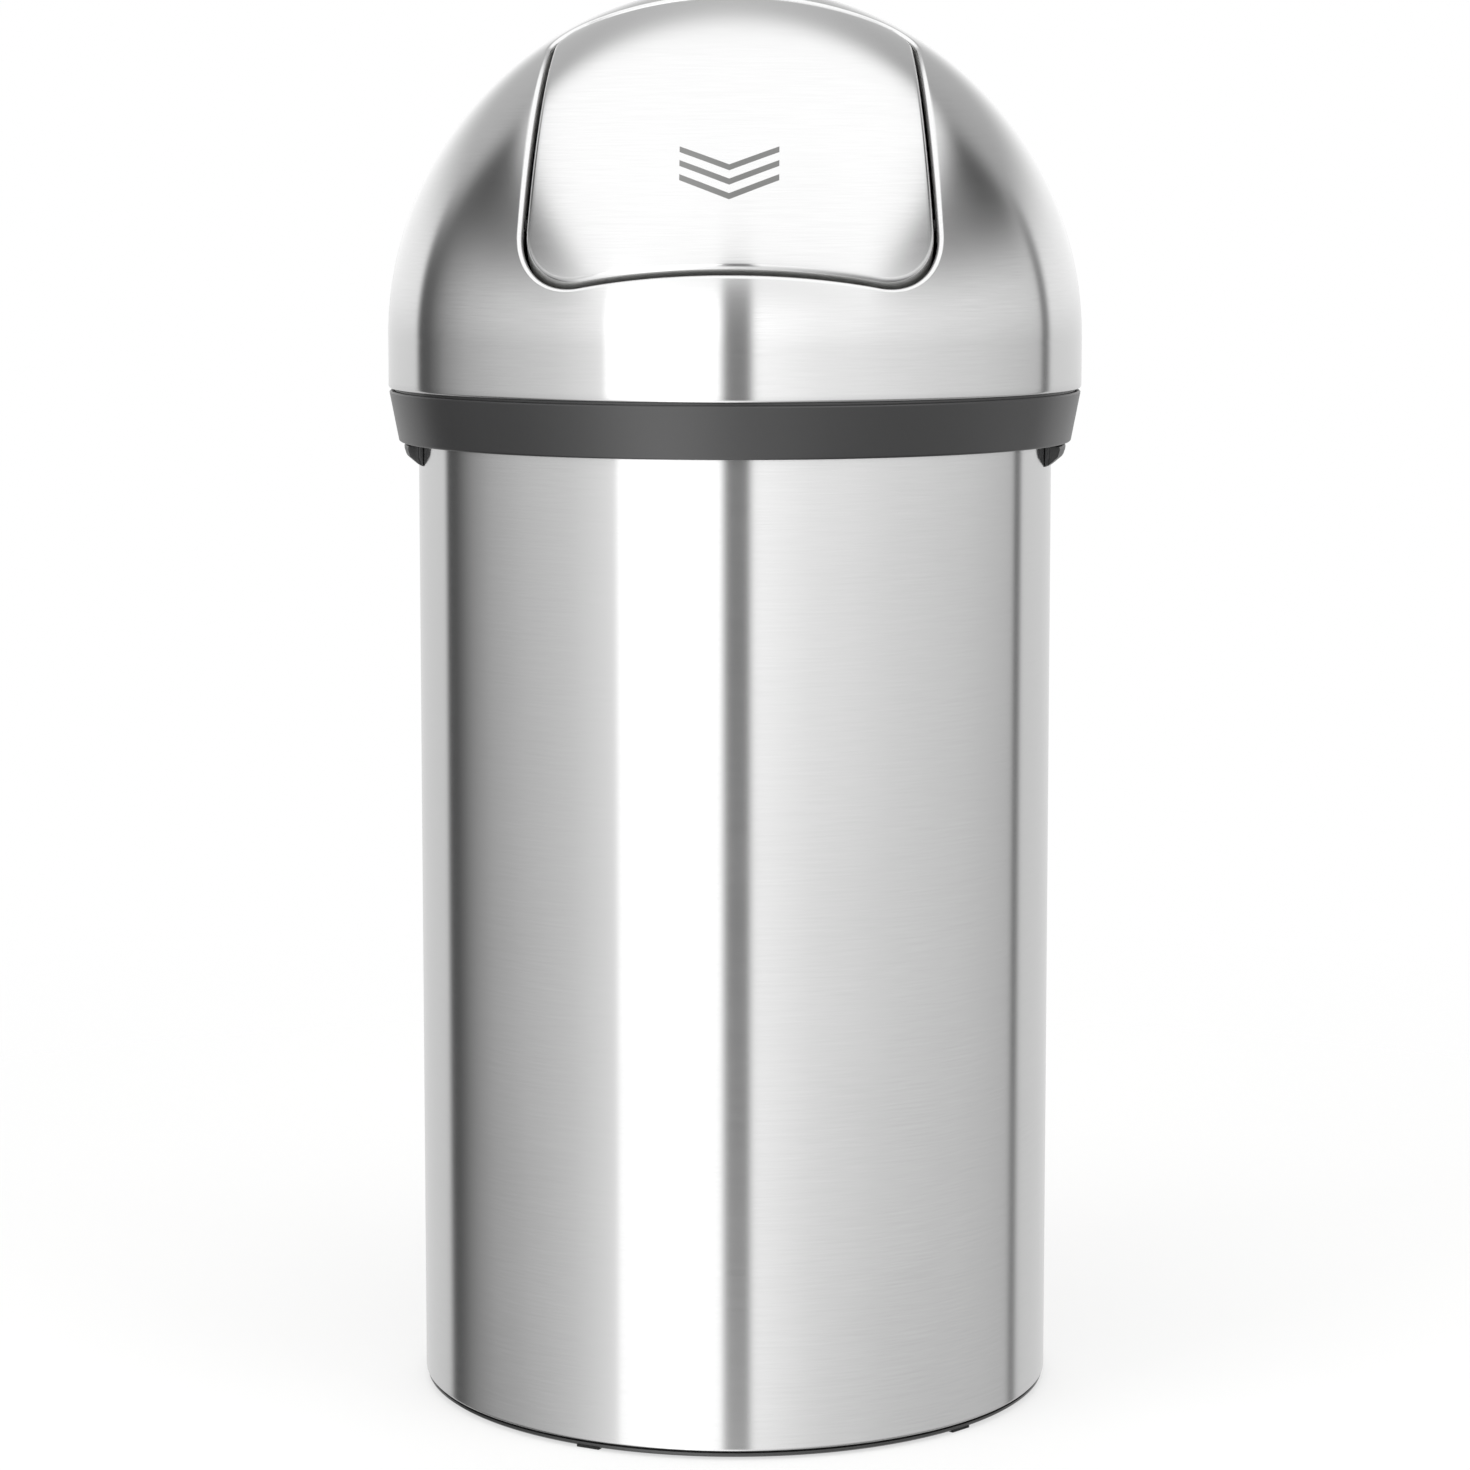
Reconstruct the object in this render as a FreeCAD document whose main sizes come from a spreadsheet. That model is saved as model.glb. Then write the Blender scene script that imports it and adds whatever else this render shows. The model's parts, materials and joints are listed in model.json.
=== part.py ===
import FreeCAD, Part
import math
import os
import Sketcher

# Free-standing waste bin with a dome top and a push flap, in millimetres.
# Floor centre at the origin, +Z up, the flap toward -Y.
# The mouth is drawn in a tilted plane through the dome's centre: "up" runs along
# the plane away from the floor, "out" is its normal, and X is shared.

sizes = {
    # feet and base ring
    "foot_height": 1.2,
    "foot_length": 13.0,
    "foot_width": 7.0,
    "foot_recess": 1.0,
    "foot_turn": -26.0,
    "base_ring_height": 2.4,
    "base_ring_width": 18.0,
    "base_ring_inset": 1.0,
    "base_ring_bevel": 1.6,
    "base_groove": 1.0,
    "base_groove_depth": 2.8,
    # tube and floor
    "body_radius": 171.4,
    "body_wall": 0.8,
    "body_length": 536.0,
    "body_hem": 11.0,
    "body_bend": 1.2,
    "floor_flange": 8.0,
    "floor_boss": 5.0,
    "floor_boss_inset": 40.0,
    "floor_boss_slope": 8.0,
    # clearances
    "fit_clearance": 0.4,
    "slide_clearance": 0.6,
    # rim channel and bag ring
    "rim_cap": 2.4,
    "rim_wall": 2.2,
    "rim_skirt": 12.0,
    "rim_ledge": 3.6,
    "rim_ledge_drop": 11.6,
    "liner_flange": 2.6,
    "liner_wall": 2.4,
    "liner_skirt": 31.0,
    "liner_tab_height": 7.5,
    "liner_tab_turn": 24.0,
    # hand grips
    "grip_turn": 45.0,
    "grip_lobe_turn": 28.8,
    "grip_plate": 2.4,
    "grip_plate_edge": 0.6,
    "grip_plate_slope": 4.5,
    "grip_bottom": 36.0,
    "grip_top": 13.4,
    "grip_lobe_height": 11.6,
    "grip_lobe_slope": 4.9,
    "grip_lobe_neck": 5.2,
    "grip_lobe_shoulder": 8.6,
    "grip_reach": 7.6,
    "grip_corner": 22.0,
    "grip_edge": 1.4,
    "grip_backing": 2.2,
    "grip_backing_turn": 38.0,
    "grip_backing_height": 13.0,
    "screw_drop": 20.0,
    "screw_turn": 12.0,
    "screw_radius": 2.0,
    "screw_head_radius": 3.6,
    "screw_head": 2.2,
    "screw_boss_radius": 4.6,
    "screw_boss": 3.4,
    "screw_bite": 4.2,
    # collar
    "collar_flange": 2.4,
    "collar_wall": 2.4,
    "collar_skirt": 26.2,
    "collar_draft": 5.1,
    "collar_inset": 0.4,
    "collar_groove": 1.2,
    "collar_edge": 0.8,
    "collar_round": 1.8,
    "collar_guide": 9.0,
    "collar_spigot": 11.6,
    "hook_reach": 1.2,
    "hook_height": 4.0,
    "hook_turn": 5.0,
    # dome
    "dome_overhang": 16.0,
    "dome_skirt": 27.2,
    "dome_wall": 1.0,
    "hem_width": 4.0,
    "hem_bend": 1.6,
    # mouth
    "flap_tilt": 48.0,
    "opening_top": 99.0,
    "opening_bottom": 94.5,
    "opening_half_width": 101.3,
    "side_taper": 3.8,
    "top_corner": 22.0,
    "bottom_corner": 35.0,
    "sill_radius": 565.0,
    "lip_radius": 2.0,
    "lip_depth": 9.0,
    "frame_width": 5.0,
    "frame_depth": 15.0,
    # flap
    "flap_gap": 2.0,
    "flap_recess": 0.6,
    "flap_wall": 0.8,
    "flap_edge": 4.0,
    "flap_flange": 8.0,
    "carrier_wall": 2.2,
    "carrier_depth": 17.0,
    "carrier_fit": 0.3,
    "stud_angle": 24.0,
    "stud_radius": 2.0,
    "stud_length": 11.0,
    "nut_width": 7.0,
    "nut_height": 3.2,
    # hinge
    "hinge_up": 70.0,
    "hinge_margin": 3.1,
    "arm_inset": 11.4,
    "arm_thickness": 6.0,
    "arm_boss_radius": 8.0,
    "pin_radius": 2.5,
    "pin_clearance": 0.06,
    "pin_head_radius": 4.5,
    "pin_head": 2.0,
    "pin_tail": 1.6,
    "bush_wall": 2.0,
    "bush_flange": 1.0,
    "clip_radius": 5.4,
    "clip_thickness": 1.0,
    "boss_radius": 8.0,
    "boss_length": 10.0,
    "spring_room": 7.6,
    "spring_radius": 4.5,
    "spring_wire": 0.6,
    "spring_pitch": 1.4,
    "spring_leg": 11.0,
    "peg_height": 3.0,
    "peg_length": 6.0,
    # stops beside the flap
    "buffer_drop": 46.0,
    "buffer_depth": 6.0,
    "buffer_radius": 3.2,
    "buffer_reach": 1.3,
    "buffer_stem_radius": 1.8,
    "buffer_stem": 4.6,
    "lug_reach": 1.4,
    "lug_length": 8.0,
    "lug_height": 7.0,
}

foot_count = 5
hook_count = 6
spring_turns = 4

doc = FreeCAD.newDocument("push_bin")
dims = doc.addObject("Spreadsheet::Sheet", "dims")
for row, (alias, size) in enumerate(sizes.items(), start=1):
    dims.set(f"A{row}", alias)
    dims.set(f"B{row}", str(size))
    dims.setAlias(f"B{row}", alias)
doc.recompute()

# Levels above the floor.
ring_bottom = "dims.foot_height"
ring_top = "(dims.foot_height + dims.base_ring_height)"
body_bottom = f"({ring_top} + dims.base_groove)"
floor_level = f"({body_bottom} + dims.body_wall)"
body_top = f"({body_bottom} + dims.body_length)"
rim_top = f"({body_top} + dims.rim_cap)"
ledge_top = f"({rim_top} - dims.rim_ledge_drop)"
collar_land = f"({rim_top} + dims.collar_flange)"
dome_centre = f"({collar_land} + dims.dome_skirt)"
screw_level = f"({body_top} - dims.screw_drop)"
grip_low = f"({body_top} - dims.grip_bottom)"

# Radii about the vertical axis.
body_bore = "(dims.body_radius - dims.body_wall)"
hem_bore = "(dims.body_radius - dims.body_hem)"
rim_out = "(dims.body_radius + dims.fit_clearance + dims.rim_wall)"
rim_in = f"({body_bore} - dims.fit_clearance - dims.rim_wall)"
ledge_in = f"({rim_in} - dims.rim_ledge)"
grip_in = "(dims.body_radius + dims.fit_clearance / 2)"
backing_out = f"({body_bore} - dims.fit_clearance / 2)"
dome_radius = "(dims.body_radius + dims.dome_overhang)"
dome_hem_bore = f"({dome_radius} - dims.hem_width)"
flap_radius = f"({dome_radius} - dims.flap_recess)"
carrier_radius = f"({flap_radius} - dims.flap_wall - dims.carrier_fit)"
carrier_bore = f"({carrier_radius} - dims.carrier_wall)"
frame_radius = f"({dome_radius} - dims.dome_wall - dims.slide_clearance)"

# Insets from the outline of the mouth; a negative one is larger than the mouth.
lip_inset = "(-dims.dome_wall)"
frame_inset = "(-dims.dome_wall - dims.slide_clearance)"
frame_outset = f"({frame_inset} - dims.frame_width)"
flap_inset = "dims.flap_gap"
skin_inset = f"({flap_inset} + dims.flap_wall)"
carrier_inset = f"({skin_inset} + dims.carrier_fit)"
tray_inset = f"({carrier_inset} + dims.carrier_wall)"

# Stations along X at the hinge, and the hinge in the tilted plane.
arm_out = "(dims.opening_half_width - dims.arm_inset)"
arm_in = f"({arm_out} - dims.arm_thickness)"
boss_in = f"({arm_out} + dims.spring_room)"
boss_out = f"({boss_in} + dims.boss_length)"
bush_radius = "(dims.pin_radius + dims.bush_wall)"
pin_bore = "(dims.pin_radius + dims.pin_clearance)"
hinge_reach = f"(sqrt({frame_radius} ^ 2 - {boss_out} ^ 2) - dims.boss_radius - dims.hinge_margin)"
hinge_out = f"sqrt({hinge_reach} ^ 2 - dims.hinge_up ^ 2)"
hinge_spot = ("dims.hinge_up", hinge_out)
leg_side = "(dims.spring_radius - dims.spring_wire - dims.carrier_fit)"
leg_start = "(dims.spring_radius + 2 * dims.spring_wire)"
peg_across = "(dims.peg_height * 4 / 3)"

# The stop beside the flap: half width of the mouth there, and its distance out.
stop_side = "(dims.opening_half_width + dims.buffer_drop * tan(dims.side_taper * 1 deg))"
stop_out = (
    f"sqrt(({dome_radius} - dims.buffer_depth) ^ 2 - {stop_side} ^ 2"
    " - dims.buffer_drop ^ 2)"
)
stop_spot = ("-dims.buffer_drop", stop_out)

x_axis = FreeCAD.Vector(1, 0, 0)
y_axis = FreeCAD.Vector(0, 1, 0)
z_axis = FreeCAD.Vector(0, 0, 1)
both_sides = (("left", -1), ("right", 1))


def value(expression):
    return float(dims.evalExpression(expression))


def world_y(up, out):
    return f"(({up}) * cos(dims.flap_tilt * 1 deg) - ({out}) * sin(dims.flap_tilt * 1 deg))"


def world_z(up, out):
    tilted = f"({up}) * sin(dims.flap_tilt * 1 deg) + ({out}) * cos(dims.flap_tilt * 1 deg)"
    return f"({dome_centre} + {tilted})"


def add(kind, label, **expressions):
    thing = doc.addObject(kind, label)
    thing.Label = label
    for name, expression in expressions.items():
        thing.setExpression(name, expression)
    return thing


def place(thing, x="0", y="0", z="0", rotation=FreeCAD.Rotation()):
    thing.Placement = FreeCAD.Placement(FreeCAD.Vector(), rotation)
    for letter, expression in zip("xyz", (x, y, z)):
        thing.setExpression(f"Placement.Base.{letter}", expression)
    return thing


def place_tilted(thing, x, up, out):
    place(thing, x, world_y(up, out), world_z(up, out), FreeCAD.Rotation(x_axis, 1))
    thing.setExpression("Placement.Rotation.Angle", "dims.flap_tilt")
    return thing


def place_across(thing, start, up, out, side):
    turn = FreeCAD.Rotation(y_axis, 90 * side)
    return place(thing, f"{side} * ({start})", world_y(up, out), world_z(up, out), turn)


# Booleans.
def cut(label, base, tool):
    thing = add("Part::Cut", label)
    thing.Base = base
    thing.Tool = tool
    doc.recompute()
    return thing


def common(label, base, tool):
    thing = add("Part::Common", label)
    thing.Base = base
    thing.Tool = tool
    doc.recompute()
    return thing


def fuse(label, pieces):
    thing = add("Part::MultiFuse", label)
    thing.Shapes = pieces
    thing.Refine = True
    doc.recompute()
    return thing


def copies(label, source, placements):
    doc.recompute()
    thing = add("Part::Feature", label)
    solids = [solid for place_ in placements for solid in moved(source, place_).Solids]
    thing.Shape = Part.makeCompound(solids)
    return thing


def moved(source, placement):
    shape = source.Shape.copy()
    shape.Placement = placement.multiply(shape.Placement)
    return shape


# Sketches.
def on_plane(body, name, role):
    sketch = body.newObject("Sketcher::SketchObject", name)
    plane = next(feature for feature in body.Origin.OriginFeatures if feature.Role == role)
    sketch.AttachmentSupport = [(plane, "")]
    sketch.MapMode = "FlatFace"
    return sketch


def rule(sketch, name, expression, kind, *ends):
    number = sketch.addConstraint(Sketcher.Constraint(kind, *ends, value(expression)))
    sketch.renameConstraint(number, name)
    sketch.setExpression(f"Constraints.{name}", expression)


def tie(sketch, kind, *ends):
    sketch.addConstraint(Sketcher.Constraint(kind, *ends))


def line(sketch, start, end):
    ends = [FreeCAD.Vector(point[0], point[1], 0) for point in (start, end)]
    return sketch.addGeometry(Part.LineSegment(*ends))


def arc(sketch, centre, radius, first, last):
    circle = Part.Circle(FreeCAD.Vector(centre[0], centre[1], 0), z_axis, radius)
    return sketch.addGeometry(Part.ArcOfCircle(circle, math.radians(first), math.radians(last)))


def add_profile(body, name, points):
    sketch = on_plane(body, name, "XZ_Plane")
    spots = [(value(across), value(level)) for across, level in points]
    count = len(spots)
    for number in range(count):
        line(sketch, spots[number], spots[(number + 1) % count])
    for number in range(count):
        tie(sketch, "Coincident", number, 2, (number + 1) % count, 1)
    for number, (across, level) in enumerate(points):
        if across == "0":
            tie(sketch, "PointOnObject", number, 1, -2)
        else:
            rule(sketch, f"across_{number}", across, "DistanceX", -1, 1, number, 1)
        if level == "0":
            tie(sketch, "PointOnObject", number, 1, -1)
        else:
            rule(sketch, f"level_{number}", level, "DistanceY", -1, 1, number, 1)
    return sketch


def revolve(body, name, sketch, turn=None):
    feature = body.newObject("PartDesign::Revolution", name)
    feature.Profile = sketch
    feature.ReferenceAxis = (sketch, ["V_Axis"])
    feature.Angle = 360
    if turn:
        feature.Midplane = True
        feature.setExpression("Angle", turn)
    doc.recompute()
    return feature


def turned(label, points, turn=None):
    body = add("PartDesign::Body", label)
    sketch = add_profile(body, f"{label}_profile", points)
    revolve(body, f"{label}_turn", sketch, turn)
    return body


def round_edges(body, name, radius, wanted):
    tip = body.Tip
    chosen = [f"Edge{i}" for i, edge in enumerate(tip.Shape.Edges, start=1) if wanted(edge)]
    feature = body.newObject("PartDesign::Fillet", name)
    feature.Base = (tip, chosen)
    feature.setExpression("Radius", radius)
    doc.recompute()
    return body


def ring_edge(across, level):
    radius = value(across)
    height = value(level)

    def wanted(edge):
        if edge.Degenerated or not isinstance(edge.Curve, Part.Circle):
            return False
        return abs(edge.Curve.Radius - radius) < 0.01 and abs(edge.Curve.Center.z - height) < 0.01

    return wanted


def repeat_round(body, name, feature, sketch, count):
    pattern = body.newObject("PartDesign::PolarPattern", name)
    pattern.Originals = [feature]
    pattern.Axis = (sketch, ["V_Axis"])
    pattern.Angle = 360
    pattern.Occurrences = count
    body.Tip = pattern
    doc.recompute()
    return pattern


# The outline of the mouth, moved inward by an inset, and the prism it makes.
def mouth_prism(label, inset):
    sketch = add("Sketcher::SketchObject", f"{label}_outline")
    place_tilted(sketch, "0", "0", "0")
    top = value(f"dims.opening_top - {inset}")
    low = value(f"dims.opening_bottom - {inset}")
    taper = math.radians(value("dims.side_taper"))
    half = value("dims.opening_half_width") - value(inset) / math.cos(taper)
    top_round = value(f"dims.top_corner - {inset}")
    low_round = value(f"dims.bottom_corner - {inset}")
    sill = value(f"dims.sill_radius - {inset}")
    lean = math.degrees(taper)
    top_reach = half - top * math.tan(taper)
    low_reach = half + low * math.tan(taper)
    high = (top_reach - top_round, top - top_round)
    deep = (low_reach - low_round, low_round - low)
    swing = math.degrees(math.asin(deep[0] / sill))
    line(sketch, (-high[0], top), (high[0], top))
    arc(sketch, high, top_round, lean, 90)
    line(sketch, (top_reach, high[1]), (low_reach, deep[1]))
    arc(sketch, deep, low_round, -90 + swing, lean)
    arc(sketch, (0, sill - low), sill, -90 - swing, -90 + swing)
    arc(sketch, (-deep[0], deep[1]), low_round, 180 - lean, 270 - swing)
    line(sketch, (-low_reach, deep[1]), (-top_reach, high[1]))
    arc(sketch, (-high[0], high[1]), top_round, 90, 180 - lean)
    joints = ((0, 2, 1, 2), (1, 1, 2, 1), (2, 2, 3, 2), (3, 1, 4, 2))
    joints += ((4, 1, 5, 2), (5, 1, 6, 1), (6, 2, 7, 2), (7, 1, 0, 1))
    for joint in joints:
        tie(sketch, "Tangent", *joint)
    tie(sketch, "Horizontal", 0)
    tie(sketch, "Symmetric", 2, 1, 6, 2, -2)
    tie(sketch, "Symmetric", 2, 2, 6, 1, -2)
    tie(sketch, "PointOnObject", 4, 3, -2)
    rule(sketch, "top_level", f"dims.opening_top - {inset}", "DistanceY", -1, 1, 0, 2)
    rule(sketch, "top_round", f"dims.top_corner - {inset}", "Radius", 1)
    rule(sketch, "low_round", f"dims.bottom_corner - {inset}", "Radius", 3)
    rule(sketch, "sill_bow", f"dims.sill_radius - {inset}", "Radius", 4)
    rule(sketch, "sill_centre", "dims.sill_radius - dims.opening_bottom", "DistanceY", -1, 1, 4, 3)
    side = f"dims.opening_half_width * cos(dims.side_taper * 1 deg) - {inset}"
    rule(sketch, "side_offset", side, "Distance", -1, 1, 2)
    tilt = math.radians(value("dims.side_taper - 90"))
    number = sketch.addConstraint(Sketcher.Constraint("Angle", 2, tilt))
    sketch.renameConstraint(number, "side_lean")
    sketch.setExpression("Constraints.side_lean", "(dims.side_taper - 90) * 1 deg")
    prism = add("Part::Extrusion", f"{label}_prism", LengthFwd=f"{dome_radius} + dims.lip_depth")
    prism.Base = sketch
    prism.DirMode = "Normal"
    prism.Solid = True
    doc.recompute()
    return prism


def ball(label, radius):
    return place(add("Part::Sphere", label, Radius=radius), z=dome_centre)


def cylinder_across(label, radius, start, length, up, out, side):
    thing = add("Part::Cylinder", label, Radius=radius, Height=length)
    return place_across(thing, start, up, out, side)


# A box in the tilted frame that starts at a distance to the left or right of the middle.
def tilted_box(label, start, across, wide, high, up, out, side):
    thing = add("Part::Box", label, Length=across, Width=wide, Height=high)
    return place_tilted(thing, start if side > 0 else f"-({start}) - ({across})", up, out)


# Rounds the edges where a ball of the given radius meets the walls of a mouth prism.
def round_mouth(label, base, radius, roundness):
    centre = FreeCAD.Vector(0, 0, value(dome_centre))
    shape = base.Shape
    reach = value(radius)
    chosen = []
    for number, edge in enumerate(shape.Edges, start=1):
        if edge.Degenerated:
            continue
        faces = shape.ancestorsOfType(edge, Part.Face)
        balls = [face for face in faces if isinstance(face.Surface, Part.Sphere)]
        spots = edge.discretize(5)
        on_ball = all(abs((spot - centre).Length - reach) < 0.01 for spot in spots)
        level = all(abs(spot.z - centre.z) < 0.01 for spot in spots)
        if on_ball and not level and len(faces) == 2 and len(balls) == 1:
            chosen.append((number, value(roundness), value(roundness)))
    thing = add("Part::Fillet", label)
    thing.Base = base
    thing.Edges = chosen
    doc.recompute()
    return thing


def upright(angle):
    return FreeCAD.Placement(FreeCAD.Vector(), FreeCAD.Rotation(z_axis, angle))


# Tube, floor and base.
def make_body_tube(screw_holes):
    blank = turned("body_tube_blank", [
        (body_bore, body_top),
        ("dims.body_radius", body_top),
        ("dims.body_radius", body_bottom),
        (hem_bore, body_bottom),
        (hem_bore, floor_level),
        (body_bore, floor_level),
    ])
    round_edges(blank, "body_tube_bend", "dims.body_bend", ring_edge("dims.body_radius", body_bottom))
    return cut("body_tube", blank, screw_holes)


def make_floor_pan():
    edge = f"({body_bore} - dims.fit_clearance)"
    foot = f"({edge} - dims.floor_boss_inset)"
    head = f"({foot} - dims.floor_boss_slope)"
    lower = floor_level
    upper = f"({floor_level} + dims.body_wall)"
    return turned("floor_pan", [
        ("0", f"{lower} + dims.floor_boss"),
        (head, f"{lower} + dims.floor_boss"),
        (foot, lower),
        (edge, lower),
        (edge, f"{lower} + dims.floor_flange"),
        (f"{edge} - dims.body_wall", f"{lower} + dims.floor_flange"),
        (f"{edge} - dims.body_wall", upper),
        (foot, upper),
        (head, f"{upper} + dims.floor_boss"),
        ("0", f"{upper} + dims.floor_boss"),
    ])


def foot_block(label, margin):
    length = f"dims.foot_length + 2 * {margin}"
    width = f"dims.foot_width + 2 * {margin}"
    block = add("Part::Box", label, Length=width, Width=length, Height="dims.foot_height + dims.foot_recess")
    rim = "dims.body_radius - dims.base_ring_inset - dims.base_ring_bevel"
    return place(block, f"{rim} - dims.foot_width - {margin}", f"-({length}) / 2", "0")


def foot_places():
    first = value("dims.foot_turn") - 90
    return [upright(first + 360 / foot_count * number) for number in range(foot_count)]


def make_base_ring():
    outer = "(dims.body_radius - dims.base_ring_inset)"
    inner = "(dims.body_radius - dims.base_ring_width)"
    land = f"({outer} - dims.base_groove_depth)"
    step = f"({hem_bore} - dims.fit_clearance)"
    blank = turned("base_ring_blank", [
        (inner, ring_bottom),
        (f"{outer} - dims.base_ring_bevel", ring_bottom),
        (outer, f"{ring_bottom} + dims.base_ring_height / 2"),
        (outer, ring_top),
        (land, ring_top),
        (land, body_bottom),
        (step, body_bottom),
        (step, floor_level),
        (inner, floor_level),
    ])
    pockets = copies("foot_pockets", foot_block("foot_pocket", "dims.fit_clearance / 2"), foot_places())
    return cut("base_ring", blank, pockets)


def make_base_feet():
    return copies("base_feet", foot_block("foot", "0"), foot_places())


# Rim channel and bag ring.
def make_rim_trim():
    slot_out = "(dims.body_radius + dims.fit_clearance)"
    slot_in = f"({body_bore} - dims.fit_clearance)"
    return turned("rim_trim", [
        (rim_in, rim_top),
        (rim_out, rim_top),
        (rim_out, f"{rim_top} - dims.rim_skirt"),
        (slot_out, f"{rim_top} - dims.rim_skirt"),
        (slot_out, body_top),
        (slot_in, body_top),
        (slot_in, f"{ledge_top} - dims.rim_wall"),
        (ledge_in, f"{ledge_top} - dims.rim_wall"),
        (ledge_in, ledge_top),
        (rim_in, ledge_top),
    ])


def make_liner_ring():
    flange = f"({rim_in} - dims.slide_clearance)"
    outer = f"({ledge_in} - dims.slide_clearance)"
    inner = f"({outer} - dims.liner_wall)"
    top = f"({ledge_top} + dims.liner_flange)"
    body = turned("liner_ring", [
        (inner, f"{ledge_top} - dims.liner_skirt"),
        (outer, f"{ledge_top} - dims.liner_skirt"),
        (outer, ledge_top),
        (flange, ledge_top),
        (flange, top),
        (inner, top),
    ])
    sketch = add_profile(body, "liner_tab_profile", [
        (inner, f"{top} - dims.liner_flange / 2"),
        (outer, f"{top} - dims.liner_flange / 2"),
        (outer, f"{top} + dims.liner_tab_height"),
        (inner, f"{top} + dims.liner_tab_height"),
    ])
    tab = revolve(body, "liner_tab", sketch, "dims.liner_tab_turn")
    repeat_round(body, "liner_tabs", tab, sketch, 2)
    return body


# Hand grips at the left and right, each held by two screws from inside.
def screw_places():
    turn = value("dims.screw_turn")
    return [upright(angle) for angle in (-turn, turn, 180 - turn, 180 + turn)]


def make_screw(label, points):
    body = turned(label, points)
    seat = f"{backing_out} - dims.grip_backing - dims.fit_clearance / 4"
    return place(body, seat, "0", screw_level, FreeCAD.Rotation(y_axis, 90))


def make_screw_holes():
    bore = "(dims.screw_radius + dims.fit_clearance / 4)"
    depth = f"({grip_in} + dims.screw_bite + dims.fit_clearance - {backing_out} + dims.grip_backing)"
    hole = make_screw("screw_hole", [("0", "0"), (bore, "0"), (bore, depth), ("0", depth)])
    return copies("screw_holes", hole, screw_places())


def make_grip_screws():
    tip = f"({grip_in} + dims.screw_bite - {backing_out} + dims.grip_backing)"
    screw = make_screw("grip_screw", [
        ("0", "-dims.screw_head"),
        ("dims.screw_head_radius", "-dims.screw_head"),
        ("dims.screw_head_radius", "0"),
        ("dims.screw_radius", "0"),
        ("dims.screw_radius", tip),
        ("0", tip),
    ])
    return copies("grip_screws", screw, screw_places())


def make_grip_plate():
    outer = f"({grip_in} + dims.grip_plate)"
    high = f"({body_top} - dims.grip_top)"
    plate = turned("grip_plate_blank", [
        (grip_in, grip_low),
        (f"{grip_in} + dims.grip_plate_edge", grip_low),
        (outer, f"{grip_low} + dims.grip_plate_slope"),
        (outer, high),
        (grip_in, high),
    ], "dims.grip_turn")
    half = f"({grip_in} * sin(dims.grip_turn / 2 * 1 deg))"
    block = add("Part::Box", "grip_block", Length=f"{outer} + dims.grip_plate", Width=f"2 * {half}",
                Height=f"{high} - {grip_low}")
    place(block, "0", f"-{half}", grip_low)
    doc.recompute()
    rounded = add("Part::Fillet", "grip_block_round")
    rounded.Base = block
    corner = value("dims.grip_corner")
    low = value(grip_low)
    rounded.Edges = [
        (number, corner, corner)
        for number, edge in enumerate(block.Shape.Edges, start=1)
        if edge.BoundBox.ZMax < low + 0.01 and edge.BoundBox.YLength < 0.01
    ]
    return common("grip_plate_round", plate, rounded)


def make_grip(screw_holes):
    lobe = turned("grip_lobe", [
        (grip_in, grip_low),
        (f"{grip_in} + dims.grip_plate_edge", grip_low),
        (f"{grip_in} + dims.grip_lobe_neck", f"{grip_low} + dims.grip_lobe_slope"),
        (f"{grip_in} + dims.grip_reach", f"{grip_low} + dims.grip_lobe_shoulder"),
        (f"{grip_in} + dims.grip_reach", f"{grip_low} + dims.grip_lobe_height - dims.grip_edge"),
        (f"{grip_in} + dims.grip_reach - dims.grip_edge", f"{grip_low} + dims.grip_lobe_height"),
        (grip_in, f"{grip_low} + dims.grip_lobe_height"),
    ], "dims.grip_lobe_turn")
    boss = add("Part::Cylinder", "grip_boss", Radius="dims.screw_boss_radius",
               Height="dims.grip_plate / 2 + dims.screw_boss")
    place(boss, f"{grip_in} + dims.grip_plate / 2", "0", screw_level, FreeCAD.Rotation(y_axis, 90))
    bosses = copies("grip_bosses", boss, screw_places()[:2])
    return cut("grip", fuse("grip_solid", [make_grip_plate(), lobe, bosses]), screw_holes)


def make_grip_backing(screw_holes):
    inner = f"({backing_out} - dims.grip_backing)"
    low = f"({screw_level} - dims.grip_backing_height / 2)"
    high = f"({screw_level} + dims.grip_backing_height / 2)"
    body = turned("grip_backing_blank", [
        (inner, low),
        (backing_out, low),
        (backing_out, high),
        (inner, high),
    ], "dims.grip_backing_turn")
    return cut("grip_backing", body, screw_holes)


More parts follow.
